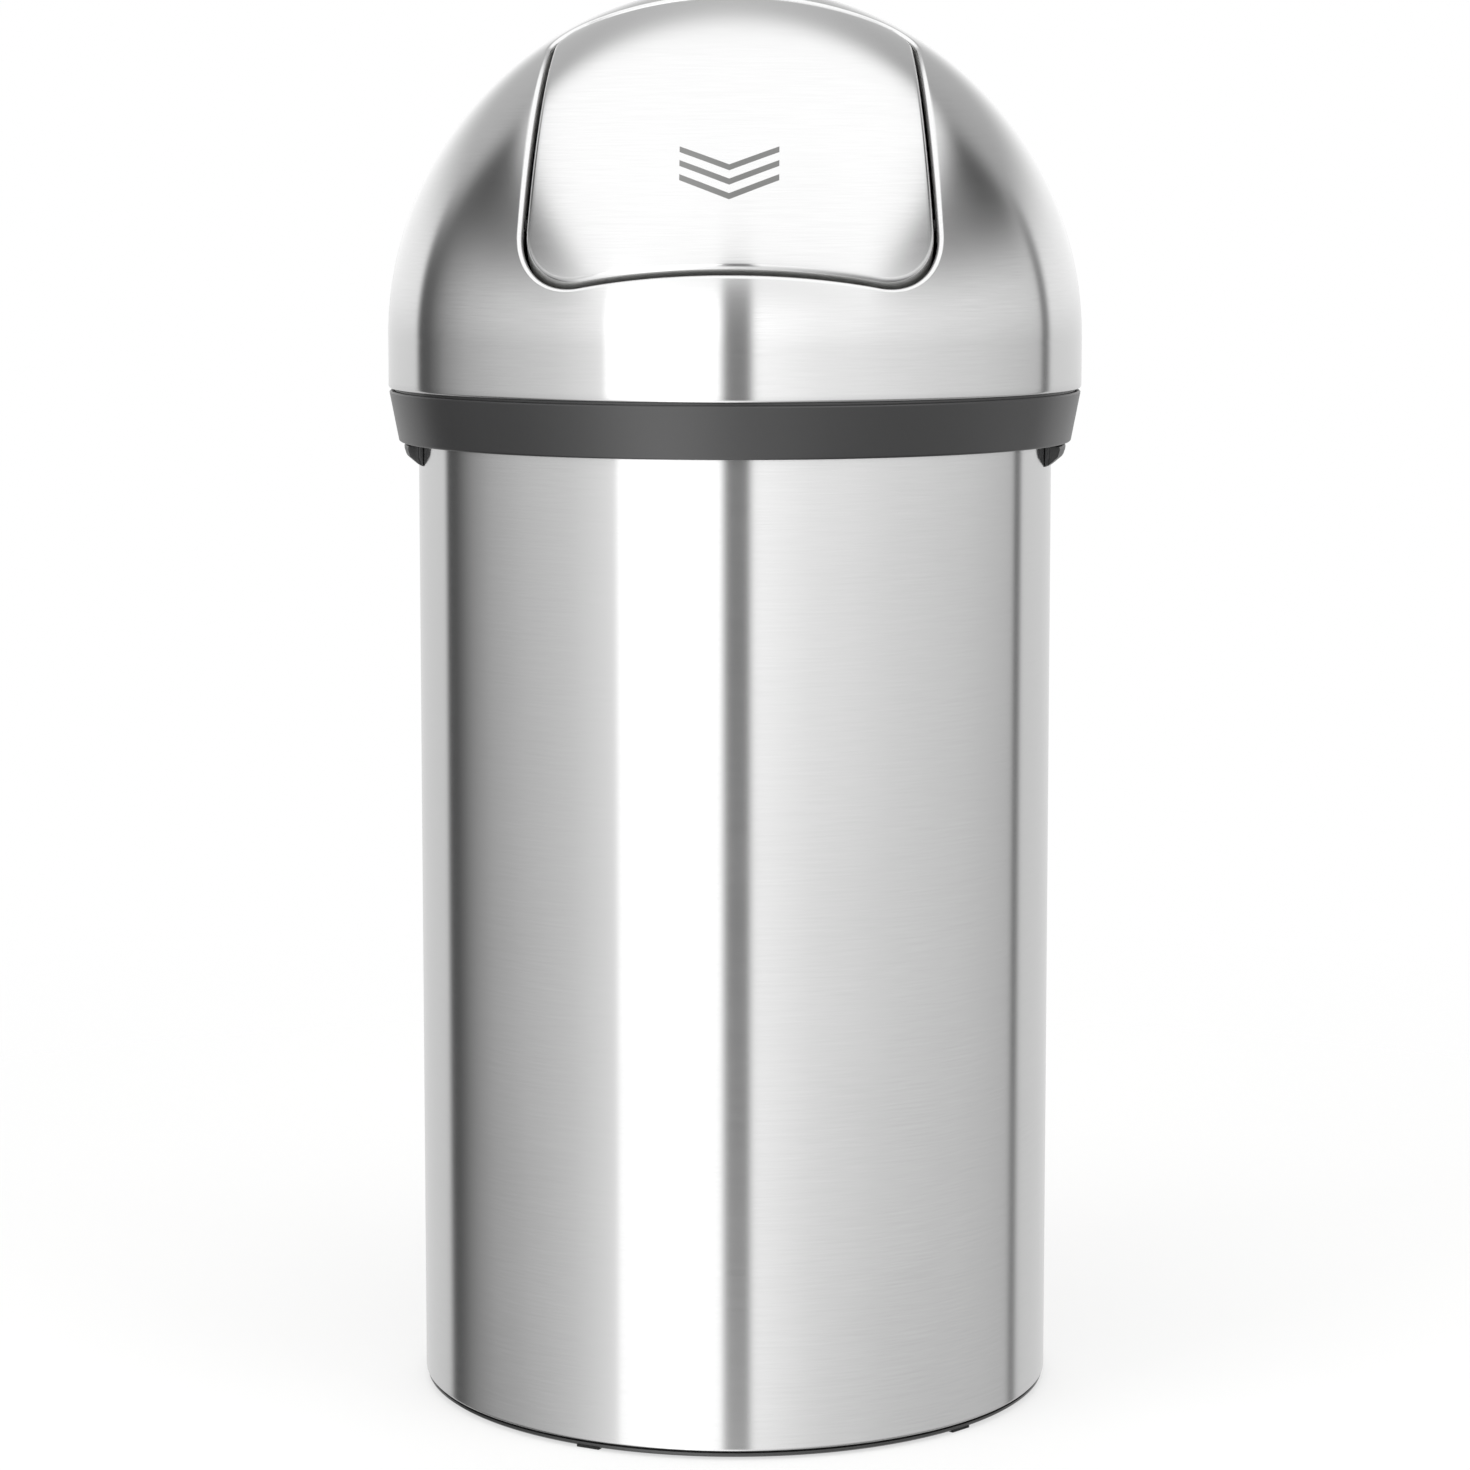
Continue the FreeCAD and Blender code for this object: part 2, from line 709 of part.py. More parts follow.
# Collar that carries the dome and sits on the rim channel.
def make_collar_ring():
    bore = f"({rim_in} + dims.slide_clearance)"
    guide_in = f"({rim_out} + dims.slide_clearance)"
    guide_out = f"({guide_in} + dims.collar_wall)"
    guide_low = f"({rim_top} - dims.collar_guide)"
    top_out = f"({dome_radius} - dims.collar_inset)"
    low_out = f"({top_out} - dims.collar_draft)"
    skirt_low = f"({rim_top} - dims.collar_skirt)"
    shoulder = f"({collar_land} - dims.collar_groove)"
    land_out = f"({dome_radius} - dims.hem_bend)"
    spigot_out = f"({dome_hem_bore} - dims.fit_clearance)"
    spigot_in = f"({spigot_out} - dims.collar_wall)"
    spigot_top = f"({collar_land} + dims.collar_spigot)"
    body = turned("collar_ring", [
        (bore, rim_top),
        (guide_in, rim_top),
        (guide_in, guide_low),
        (guide_out, guide_low),
        (guide_out, rim_top),
        (f"{top_out} - dims.collar_wall", rim_top),
        (f"{low_out} - dims.collar_wall", skirt_low),
        (low_out, skirt_low),
        (top_out, f"{shoulder} - dims.collar_edge"),
        (f"{top_out} - dims.collar_edge", shoulder),
        (land_out, shoulder),
        (land_out, collar_land),
        (spigot_out, collar_land),
        (spigot_out, spigot_top),
        (spigot_in, spigot_top),
        (spigot_in, collar_land),
        (bore, collar_land),
    ])
    round_edges(body, "collar_ring_round", "dims.collar_round", ring_edge(low_out, skirt_low))
    catch = f"({collar_land} + dims.dome_wall + dims.fit_clearance)"
    sketch = add_profile(body, "hook_profile", [
        (f"{spigot_out} - dims.collar_wall / 2", catch),
        (f"{spigot_out} + dims.hook_reach", catch),
        (spigot_out, f"{catch} + dims.hook_height"),
        (f"{spigot_out} - dims.collar_wall / 2", f"{catch} + dims.hook_height"),
    ])
    hook = revolve(body, "hook", sketch, "dims.hook_turn")
    repeat_round(body, "hooks", hook, sketch, hook_count)
    return body


# Dome: an outer and an inner solid, each with the mouth cut and its edge rounded.
def dome_solid(label, radius, bottom):
    body = add("PartDesign::Body", label)
    sketch = on_plane(body, f"{label}_profile", "XZ_Plane")
    reach = value(radius)
    centre = value(dome_centre)
    low = value(bottom)
    arc(sketch, (0, centre), reach, 0, 90)
    line(sketch, (0, centre + reach), (0, low))
    line(sketch, (0, low), (reach, low))
    line(sketch, (reach, low), (reach, centre))
    for first, last in ((0, 1), (1, 2), (2, 3)):
        tie(sketch, "Coincident", first, 2, last, 1)
    tie(sketch, "Coincident", 3, 2, 0, 1)
    tie(sketch, "PointOnObject", 0, 3, -2)
    tie(sketch, "PointOnObject", 1, 1, -2)
    tie(sketch, "PointOnObject", 1, 2, -2)
    tie(sketch, "Horizontal", 2)
    tie(sketch, "Vertical", 3)
    tie(sketch, "Horizontal", 0, 1, 0, 3)
    rule(sketch, "reach", radius, "Radius", 0)
    rule(sketch, "centre", dome_centre, "DistanceY", -1, 1, 0, 3)
    rule(sketch, "low", bottom, "DistanceY", -1, 1, 1, 2)
    revolve(body, f"{label}_turn", sketch)
    return body


def make_dome_shell(buffer_holes):
    inner_radius = f"({dome_radius} - dims.dome_wall)"
    hem_top = f"({collar_land} + dims.dome_wall)"
    outer = dome_solid("dome_outer", dome_radius, collar_land)
    round_edges(outer, "dome_hem_bend", "dims.hem_bend", ring_edge(dome_radius, collar_land))
    inner = dome_solid("dome_inner", inner_radius, hem_top)
    core = dome_solid("dome_core", f"({dome_radius} - dims.lip_depth)", hem_top)
    outer_cut = cut("dome_outer_cut", outer, mouth_prism("mouth", "0"))
    outer_round = round_mouth("dome_outer_round", outer_cut, dome_radius, "dims.lip_radius")
    inner_cut = cut("dome_inner_cut", inner, mouth_prism("lip", lip_inset))
    inner_round = round_mouth("dome_inner_round", inner_cut, inner_radius, "dims.lip_radius - dims.dome_wall")
    hem_hole = add("Part::Cylinder", "dome_hem_hole", Radius=dome_hem_bore, Height="4 * dims.dome_wall")
    place(hem_hole, z=f"{collar_land} - dims.dome_wall")
    wall = cut("dome_wall_solid", outer_round, inner_round)
    trimmed = cut("dome_lip_trimmed", wall, core)
    opened = cut("dome_hem_opened", trimmed, hem_hole)
    return cut("dome_shell", opened, buffer_holes)


# Frame behind the lip, with a boss for each hinge pin and a peg for each spring.
def make_opening_frame(buffer_holes):
    opened = cut("frame_ball_open", ball("frame_ball", frame_radius), mouth_prism("frame_inner", frame_inset))
    corner = "dims.lip_radius - dims.dome_wall - dims.slide_clearance"
    edged = round_mouth("frame_edged", opened, frame_radius, corner)
    shell = cut("frame_shell", edged, ball("frame_core", f"({dome_radius} - dims.frame_depth)"))
    pieces = [common("frame_rim", shell, mouth_prism("frame_outer", frame_outset))]
    bores = []
    for name, side in both_sides:
        boss = (boss_in, "dims.boss_length", *hinge_spot, side)
        bore = (boss_in, "2 * dims.boss_length", *hinge_spot, side)
        pieces.append(cylinder_across(f"frame_boss_{name}", "dims.boss_radius", *boss))
        pieces.append(make_peg(f"frame_peg_{name}", f"{boss_in} - dims.peg_height", side, -1))
        bores.append(cylinder_across(f"frame_bore_{name}", pin_bore, *bore))
    bored = cut("frame_bored", fuse("frame_solid", pieces), fuse("frame_bores", bores))
    return cut("opening_frame", bored, buffer_holes)


# A peg against which one leg of a spring bears, on the flap's side (+1) or behind the hinge (-1).
def make_peg(label, start, side, facing):
    out = f"{hinge_out} + {leg_start}" if facing > 0 else f"{hinge_out} - {leg_start} - dims.peg_length"
    up = f"dims.hinge_up - {leg_side}"
    return tilted_box(label, start, peg_across, f"{leg_side} * 0.8", "dims.peg_length", up, out, side)


# Rubber stops on the lip, to the left and right of the flap.
def make_buffer_holes():
    bore = "dims.buffer_stem_radius + dims.fit_clearance / 4"
    start = f"{stop_side} - dims.flap_gap"
    length = "dims.flap_gap + dims.buffer_stem + dims.fit_clearance"
    holes = [
        cylinder_across(f"buffer_hole_{name}", bore, start, length, *stop_spot, side)
        for name, side in both_sides
    ]
    return fuse("buffer_holes", holes)


def make_flap_buffers():
    seat = "(dims.fit_clearance * 0.75)"
    buttons = []
    for name, side in both_sides:
        button = turned(f"flap_buffer_{name}", [
            ("0", "0"),
            ("dims.buffer_radius - dims.buffer_reach / 3", "0"),
            ("dims.buffer_radius", "dims.buffer_reach / 3"),
            ("dims.buffer_radius", "dims.buffer_reach"),
            ("dims.buffer_stem_radius", "dims.buffer_reach"),
            ("dims.buffer_stem_radius", "dims.buffer_reach + dims.buffer_stem"),
            ("0", "dims.buffer_reach + dims.buffer_stem"),
        ])
        start = f"{stop_side} - dims.buffer_reach - {seat}"
        buttons.append(place_across(button, start, *stop_spot, side))
    doc.recompute()
    group = add("Part::Compound", "flap_buffers")
    group.Links = buttons
    return group


# Flap: a spherical panel with turned-in edges, and a moulded tray behind it.
def panel_solid(label, inset, radius, roundness):
    solid = common(f"{label}_solid", ball(f"{label}_ball", radius), mouth_prism(label, inset))
    return round_mouth(f"{label}_round", solid, radius, roundness)


def make_flap_skin():
    outer = panel_solid("skin_outer", flap_inset, flap_radius, "dims.flap_edge")
    inner = panel_solid("skin_inner", skin_inset, f"({flap_radius} - dims.flap_wall)",
                        "dims.flap_edge - dims.flap_wall")
    core = ball("skin_core", f"{flap_radius} - dims.flap_flange")
    return cut("flap_skin", cut("skin_wall", outer, inner), core)


def stud_places():
    tilt = FreeCAD.Rotation(x_axis, value("dims.flap_tilt"))
    lean = FreeCAD.Rotation(y_axis, value("dims.stud_angle"))
    centre = FreeCAD.Vector(0, 0, value(dome_centre))
    turns = [FreeCAD.Rotation(z_axis, angle) for angle in (45, 135, 225, 315)]
    return [FreeCAD.Placement(centre, tilt.multiply(turn).multiply(lean)) for turn in turns]


def make_stud(label, radius, length):
    thing = add("Part::Cylinder", label, Radius=radius, Height=length)
    top = f"{flap_radius} - dims.flap_wall - dims.carrier_fit / 4"
    return place(thing, z=f"{top} - {length}")


def make_flap_studs():
    return copies("flap_studs", make_stud("stud", "dims.stud_radius", "dims.stud_length"), stud_places())


def make_flap_nuts():
    height = "dims.nut_height"
    hexagon = add("Part::Prism", "nut_blank", Circumradius="dims.nut_width / sqrt(3)", Height=height)
    hexagon.Polygon = 6
    bore = add("Part::Cylinder", "nut_bore", Radius="dims.stud_radius + dims.pin_clearance", Height=height)
    level = f"{carrier_bore} - dims.carrier_fit / 2 - {height}"
    nut = cut("nut", place(hexagon, z=level), place(bore, z=level))
    return copies("flap_nuts", nut, stud_places())


def make_arms(limit):
    wide = f"{leg_side} + dims.arm_boss_radius"
    corner = (f"dims.hinge_up - {leg_side}", hinge_out)
    pieces = []
    for name, side in both_sides:
        beam = ("dims.arm_thickness", wide, f"{dome_radius} - {hinge_out}", *corner, side)
        boss = (arm_in, "dims.arm_thickness", *hinge_spot, side)
        pieces.append(tilted_box(f"arm_beam_{name}", arm_in, *beam))
        pieces.append(cylinder_across(f"arm_boss_{name}", "dims.arm_boss_radius", *boss))
    return common("carrier_arms", fuse("arm_solids", pieces), limit)


def make_arm_bores():
    start = f"{arm_in} - dims.arm_thickness"
    bores = [
        cylinder_across(f"arm_bore_{name}", f"{bush_radius} + dims.pin_clearance", start,
                        "3 * dims.arm_thickness", *hinge_spot, side)
        for name, side in both_sides
    ]
    return fuse("arm_bores", bores)


# Room for the springs in the tray's side walls.
def make_spring_notches():
    high = "dims.arm_boss_radius + dims.spring_leg + 2 * dims.spring_wire"
    corner = ("dims.hinge_up - dims.arm_boss_radius", f"{hinge_out} - dims.arm_boss_radius")
    notches = [
        tilted_box(f"spring_notch_{name}", arm_out, "dims.spring_room", "2 * dims.arm_boss_radius",
                   high, *corner, side)
        for name, side in both_sides
    ]
    return fuse("spring_notches", notches)


# Lugs that meet the rubber stops when the flap is shut.
def make_stop_lugs():
    start = f"({stop_side} - {carrier_inset} - dims.carrier_wall / 2)"
    across = f"({carrier_inset} - dims.flap_gap + dims.carrier_wall / 2 + dims.lug_reach)"
    up = "-dims.buffer_drop - dims.lug_length / 2"
    out = f"{stop_out} - dims.buffer_radius - dims.fit_clearance - dims.lug_height"
    return [
        tilted_box(f"stop_lug_{name}", start, across, "dims.lug_length", "dims.lug_height", up, out, side)
        for name, side in both_sides
    ]


def make_flap_carrier():
    corner = "dims.flap_edge - dims.flap_wall - dims.carrier_fit"
    outer = panel_solid("carrier_outer", carrier_inset, carrier_radius, corner)
    tray = common("carrier_tray", ball("tray_ball", carrier_bore), mouth_prism("tray", tray_inset))
    core = ball("carrier_core", f"{flap_radius} - dims.carrier_depth")
    shell = cut("carrier_shell", cut("carrier_wall_solid", outer, tray), core)
    notched = cut("carrier_notched", shell, make_spring_notches())
    start = f"{arm_out} - dims.peg_height / 3"
    pegs = [make_peg(f"arm_peg_{name}", start, side, 1) for name, side in both_sides]
    solid = fuse("carrier_solid", [notched, make_arms(outer)] + make_stop_lugs() + pegs)
    bored = cut("carrier_bored", solid, make_arm_bores())
    reach = "dims.stud_length + dims.carrier_wall"
    hole = make_stud("stud_hole", "dims.stud_radius + dims.fit_clearance", reach)
    return cut("flap_carrier", bored, copies("stud_holes", hole, stud_places()))


# Hinge: one pin, clip, bush and torsion spring on each side.
def make_hinge_pin(name, side):
    gap = "(dims.bush_flange + dims.fit_clearance)"
    start = f"({arm_in} - {gap} - dims.pin_head)"
    end = f"({boss_out} + dims.clip_thickness + dims.pin_tail - {start})"
    pin = turned(f"hinge_pin_{name}", [
        ("0", "0"),
        ("dims.pin_head_radius", "0"),
        ("dims.pin_head_radius", "dims.pin_head"),
        ("dims.pin_radius", "dims.pin_head"),
        ("dims.pin_radius", end),
        ("0", end),
    ])
    return place_across(pin, start, *hinge_spot, side)


def make_hinge_bush(name, side):
    length = "(dims.bush_flange + dims.arm_thickness)"
    bush = turned(f"hinge_bush_{name}", [
        (pin_bore, "0"),
        (f"{bush_radius} + dims.bush_flange", "0"),
        (f"{bush_radius} + dims.bush_flange", "dims.bush_flange"),
        (bush_radius, "dims.bush_flange"),
        (bush_radius, length),
        (pin_bore, length),
    ])
    return place_across(bush, f"{arm_in} - dims.bush_flange", *hinge_spot, side)


def make_pin_clips():
    clips = []
    for name, side in both_sides:
        clip = turned(f"pin_clip_{name}", [
            ("dims.pin_radius + dims.pin_clearance / 3", "0"),
            ("dims.clip_radius", "0"),
            ("dims.clip_radius", "dims.clip_thickness"),
            ("dims.pin_radius + dims.pin_clearance / 3", "dims.clip_thickness"),
        ])
        clips.append(place_across(clip, f"{boss_out} + dims.fit_clearance / 4", *hinge_spot, side))
    doc.recompute()
    group = add("Part::Compound", "pin_clips")
    group.Links = clips
    return group


# A coil about the pin with a straight leg at each end, drawn along +Z and then laid across.
def make_spring(name, side):
    coil_radius = value("dims.spring_radius")
    wire = value("dims.spring_wire")
    pitch = value("dims.spring_pitch")
    leg = value("dims.spring_leg")
    middle = value(f"({arm_out} + {boss_in}) / 2")
    height = pitch * spring_turns
    first = FreeCAD.Vector(-coil_radius, 0, middle - height / 2)
    last = FreeCAD.Vector(-coil_radius, 0, middle + height / 2)
    coil = Part.makeHelix(pitch, height, coil_radius)
    coil.Placement = FreeCAD.Placement(FreeCAD.Vector(0, 0, first.z), FreeCAD.Rotation(z_axis, 180))
    run = FreeCAD.Vector(0, -2 * math.pi * coil_radius, pitch).normalize()
    tip = first - run * leg
    path = Part.Wire([Part.makeLine(tip, first)] + coil.Edges + [Part.makeLine(last, last + run * leg)])
    section = Part.Wire([Part.makeCircle(wire, tip, run)])
    shape = path.makePipeShell([section], True, False)
    upright_to_across = FreeCAD.Rotation(FreeCAD.Vector(1, 1, 1), 120)
    laid = FreeCAD.Rotation(x_axis, value("dims.flap_tilt")).multiply(upright_to_across)
    spot = FreeCAD.Vector(0, value(world_y(*hinge_spot)), value(world_z(*hinge_spot)))
    shape.Placement = FreeCAD.Placement(spot, laid)
    if side < 0:
        shape = shape.mirror(FreeCAD.Vector(), x_axis)
    thing = add("Part::Feature", f"spring_{name}")
    thing.Shape = shape
    return thing


screw_holes = make_screw_holes()
buffer_holes = make_buffer_holes()
nodes = [
    make_body_tube(screw_holes),
    make_floor_pan(),
    make_base_ring(),
    make_base_feet(),
    make_rim_trim(),
    make_liner_ring(),
    make_grip_screws(),
    make_collar_ring(),
    make_dome_shell(buffer_holes),
    make_opening_frame(buffer_holes),
    make_flap_buffers(),
    make_pin_clips(),
    make_flap_skin(),
    make_flap_carrier(),
    make_flap_studs(),
    make_flap_nuts(),
]
grip = make_grip(screw_holes)
grip_backing = make_grip_backing(screw_holes)
for side_name, side_sign in both_sides:
    half_turn = [upright(90 - 90 * side_sign)]
    nodes.append(copies(f"grip_{side_name}", grip, half_turn))
    nodes.append(copies(f"grip_backing_{side_name}", grip_backing, half_turn))
    nodes.append(make_hinge_pin(side_name, side_sign))
    nodes.append(make_hinge_bush(side_name, side_sign))
    nodes.append(make_spring(side_name, side_sign))
doc.recompute()

for thing in doc.Objects:
    if "Invalid" in thing.State or "Error" in thing.State:
        raise RuntimeError(f"{thing.Label} did not build")
os.makedirs("parts", exist_ok=True)
for node in nodes:
    if node.Shape.isNull() or not node.Shape.isValid() or not node.Shape.Solids:
        raise RuntimeError(f"{node.Label} has no valid shape")
    node.Shape.exportStep(f"parts/{node.Label}.step")
    box = node.Shape.BoundBox
    print(f"{node.Label}: {len(node.Shape.Solids)} solids, {node.Shape.Volume:.0f} mm3,"
          f" z {box.ZMin:.2f} to {box.ZMax:.2f}, x to {box.XMax:.2f}")
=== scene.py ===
import json
import math

import bmesh
import bpy
import numpy as np
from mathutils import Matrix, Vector


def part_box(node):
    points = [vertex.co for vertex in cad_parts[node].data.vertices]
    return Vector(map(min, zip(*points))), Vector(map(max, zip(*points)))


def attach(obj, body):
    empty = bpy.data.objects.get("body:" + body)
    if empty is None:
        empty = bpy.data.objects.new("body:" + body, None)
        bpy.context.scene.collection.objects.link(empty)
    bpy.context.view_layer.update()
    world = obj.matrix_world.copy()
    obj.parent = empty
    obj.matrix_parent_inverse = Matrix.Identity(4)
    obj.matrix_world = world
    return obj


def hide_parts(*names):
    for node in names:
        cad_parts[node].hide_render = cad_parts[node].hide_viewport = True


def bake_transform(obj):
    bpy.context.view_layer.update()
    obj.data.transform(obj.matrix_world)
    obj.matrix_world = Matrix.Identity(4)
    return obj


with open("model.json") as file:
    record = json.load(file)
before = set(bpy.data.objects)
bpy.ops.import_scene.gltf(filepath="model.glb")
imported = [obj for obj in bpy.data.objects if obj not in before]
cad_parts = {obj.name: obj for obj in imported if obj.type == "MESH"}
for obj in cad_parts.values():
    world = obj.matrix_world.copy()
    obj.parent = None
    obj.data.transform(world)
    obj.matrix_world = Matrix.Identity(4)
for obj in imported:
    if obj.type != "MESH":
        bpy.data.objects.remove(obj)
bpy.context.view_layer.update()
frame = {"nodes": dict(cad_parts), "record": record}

# Push-flap waste bin in brushed stainless steel. Dictionaries are in millimetres and degrees,
# meshes in metres. The flap faces -Y and the floor is at z = 0.
nodes = frame["nodes"]


def nodeBox(name):
    return np.round(np.array(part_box(name)) * 1000, 1)


tubeLow, tubeHigh = nodeBox("body_tube")
domeLow, domeHigh = nodeBox("dome_shell")
tubeRadius = tubeHigh[0]
domeRadius = domeHigh[0]
domeCentre = domeHigh[2] - domeRadius  # the dome is half a ball on a short straight skirt


# Node trees
def linear(hexColour):
    parts = [int(hexColour[i:i + 2], 16) / 255 for i in (1, 3, 5)]
    return [p / 12.92 if p <= 0.04045 else ((p + 0.055) / 1.055) ** 2.4 for p in parts] + [1.0]


# Adds a node; an input that is given a socket is linked, any other value is set on it.
def addNode(tree, kind, settings=None, inputs=None):
    node = tree.nodes.new("ShaderNode" + kind)
    for key, value in (settings or {}).items():
        setattr(node, key, value)
    for key, value in (inputs or {}).items():
        if isinstance(value, bpy.types.NodeSocket):
            tree.links.new(value, node.inputs[key])
        else:
            node.inputs[key].default_value = value
    return node


def newTree(name):
    material = bpy.data.materials.new(name)
    material.use_nodes = True
    material.node_tree.nodes.clear()
    return material, material.node_tree


def closeTree(tree, shader):
    addNode(tree, "OutputMaterial", None, {"Surface": shader.outputs[0]})


# Brushed stainless sheet: a belt leaves long shallow scratches round the piece, so a highlight
# stays sharp along the scratches and smears across them, up and down the tube.
brushed = {
    "pale": "#d8d8d8",
    "deep": "#d3d3d3",
    "roughness": (0.15, 0.19),
    "anisotropic": 0.95,
    "rotation": 0.25,     # of the highlight: a quarter turn stretches it across the scratches
    "scratch": 26.0,      # length of a scratch
    "spacing": 0.5,       # really about 0.1, drawn this coarse so that it shows in the render
    "blotch": 60.0,       # faint uneven belt pressure
    "uneven": 0.35,       # its share beside the scratches
    "span": (0.45, 0.95),  # of the mixed pattern, from the deep colour to the pale one
    "bump": (0.025, 0.2),  # strength and depth of the scratches
}


def brushedSteel(name, mark=None):
    material, tree = newTree(name)
    place = addNode(tree, "TexCoord")
    spot = addNode(tree, "SeparateXYZ", None, {0: place.outputs["Object"]})
    sheet = addNode(tree, "UVMap", {"uv_map": "brush"})
    along = addNode(tree, "SeparateXYZ", None, {0: sheet.outputs[0]})
    long = 1000 / brushed["scratch"]
    fine = 1000 / brushed["spacing"]
    stretched = [
        addNode(tree, "Math", {"operation": "MULTIPLY"}, {0: source, 1: scale}).outputs[0]
        for source, scale in ((spot.outputs[0], long), (spot.outputs[1], long), (along.outputs[1], fine))
    ]
    lines = addNode(tree, "CombineXYZ", None, dict(enumerate(stretched)))
    hair = addNode(tree, "TexNoise", None,
                   {"Vector": lines.outputs[0], "Scale": 1.0, "Detail": 3.0, "Roughness": 0.65})
    cloud = addNode(tree, "TexNoise", None,
                    {"Vector": place.outputs["Object"], "Scale": 1000 / brushed["blotch"], "Detail": 2.0})
    both = addNode(tree, "Math", {"operation": "MULTIPLY_ADD"},
                   {0: cloud.outputs[0], 1: brushed["uneven"], 2: hair.outputs[0]})
    first, last = brushed["span"]
    tone = addNode(tree, "MapRange", None, {0: both.outputs[0], 1: first, 2: last, 3: 0.0, 4: 1.0})
    colour = addNode(tree, "Mix", {"data_type": "RGBA"},
                     {0: tone.outputs[0], 6: linear(brushed["deep"]), 7: linear(brushed["pale"])})
    low, high = brushed["roughness"]
    rough = addNode(tree, "MapRange", None, {0: both.outputs[0], 1: first, 2: last, 3: high, 4: low})
    strength, depth = brushed["bump"]
    bump = addNode(tree, "Bump", None,
                   {"Strength": strength, "Distance": depth / 1000, "Height": hair.outputs[0]})
    tangent = addNode(tree, "Tangent", {"direction_type": "UV_MAP", "uv_map": "brush"})
    base, roughness = colour.outputs[2], rough.outputs[0]
    if mark:
        base, roughness = etchedMark(tree, spot, along, base, roughness, mark)
    shader = addNode(tree, "BsdfPrincipled", None, {
        "Base Color": base, "Metallic": 1.0, "Roughness": roughness, "Normal": bump.outputs[0],
        "Anisotropic": brushed["anisotropic"], "Anisotropic Rotation": brushed["rotation"],
        "Tangent": tangent.outputs[0]})
    closeTree(tree, shader)
    return material


# Acid-etched press mark: nested chevrons that point down, matt grey on the bright sheet.
pressMark = {"level": 28.4, "width": 50.0, "stroke": 3.4, "pitch": 8.0, "count": 3, "slope": 0.42,
             "grey": "#8f8f8e", "roughness": 0.5}


def etchedMark(tree, spot, along, base, roughness, mark):
    reach = math.radians(mark["level"]) * (domeRadius / 1000)
    span = mark["pitch"] * mark["count"] / 1000
    side = addNode(tree, "Math", {"operation": "ABSOLUTE"}, {0: spot.outputs[0]})
    lifted = addNode(tree, "Math", {"operation": "SUBTRACT"}, {0: along.outputs[1], 1: reach})
    folded = addNode(tree, "Math", {"operation": "MULTIPLY_ADD"},
                     {0: side.outputs[0], 1: -mark["slope"], 2: lifted.outputs[0]})
    level = addNode(tree, "Math", {"operation": "ADD"},
                    {0: folded.outputs[0], 1: span / 2 + mark["slope"] * mark["width"] / 4000})
    saw = addNode(tree, "Math", {"operation": "FLOORED_MODULO"},
                  {0: level.outputs[0], 1: mark["pitch"] / 1000})
    tests = [
        addNode(tree, "Math", {"operation": "LESS_THAN"}, {0: saw.outputs[0], 1: mark["stroke"] / 1000}),
        addNode(tree, "Math", {"operation": "LESS_THAN"}, {0: side.outputs[0], 1: mark["width"] / 2000}),
        addNode(tree, "Math", {"operation": "GREATER_THAN"}, {0: level.outputs[0], 1: 0.0}),
        addNode(tree, "Math", {"operation": "LESS_THAN"}, {0: level.outputs[0], 1: span}),
    ]
    inside = tests[0].outputs[0]
    for test in tests[1:]:
        inside = addNode(tree, "Math", {"operation": "MULTIPLY"}, {0: inside, 1: test.outputs[0]}).outputs[0]
    colour = addNode(tree, "Mix", {"data_type": "RGBA"}, {0: inside, 6: base, 7: linear(mark["grey"])})
    rough = addNode(tree, "Mix", {"data_type": "FLOAT"}, {0: inside, 2: roughness, 3: mark["roughness"]})
    return colour.outputs[2], rough.outputs[0]


# Moulded plastic: a spark-eroded mould leaves a fine even grain that softens the gloss.
moulded = {
    "blotch": 45.0,        # faint flow marks
    "uneven": 0.5,         # their share beside the grain
    "span": (0.45, 1.05),  # of the mixed pattern, from the dark colour to the light one
    "bumpDepth": 0.3,
}


def mouldedPlastic(name, dark, light, roughness, grain, depth, gloss=0.5):
    material, tree = newTree(name)
    place = addNode(tree, "TexCoord")
    fine = addNode(tree, "TexNoise", None, {
        "Vector": place.outputs["Object"], "Scale": 1000 / grain, "Detail": 4.0, "Roughness": 0.6})
    cloud = addNode(tree, "TexNoise", None, {
        "Vector": place.outputs["Object"], "Scale": 1000 / moulded["blotch"], "Detail": 2.0})
    both = addNode(tree, "Math", {"operation": "MULTIPLY_ADD"},
                   {0: cloud.outputs[0], 1: moulded["uneven"], 2: fine.outputs[0]})
    first, last = moulded["span"]
    tone = addNode(tree, "MapRange", None, {0: both.outputs[0], 1: first, 2: last, 3: 0.0, 4: 1.0})
    colour = addNode(tree, "Mix", {"data_type": "RGBA"},
                     {0: tone.outputs[0], 6: linear(dark), 7: linear(light)})
    rough = addNode(tree, "MapRange", None,
                    {0: both.outputs[0], 1: first, 2: last, 3: roughness[0], 4: roughness[1]})
    bump = addNode(tree, "Bump", None, {
        "Strength": depth, "Distance": moulded["bumpDepth"] / 1000, "Height": fine.outputs[0]})
    shader = addNode(tree, "BsdfPrincipled", None, {
        "Base Color": colour.outputs[2], "Roughness": rough.outputs[0], "Normal": bump.outputs[0], "IOR": 1.5,
        "Specular IOR Level": gloss})
    closeTree(tree, shader)
    return material


# Plain steel of the fittings and sheet edges: zinc, grinding, rolling or drawing leaves cells or lines
# of another size.
fitting = {
    "mottle": 0.6,        # share of the cells beside the grain
    "span": (0.3, 0.7),   # of the grain, from the low roughness to the high one
}


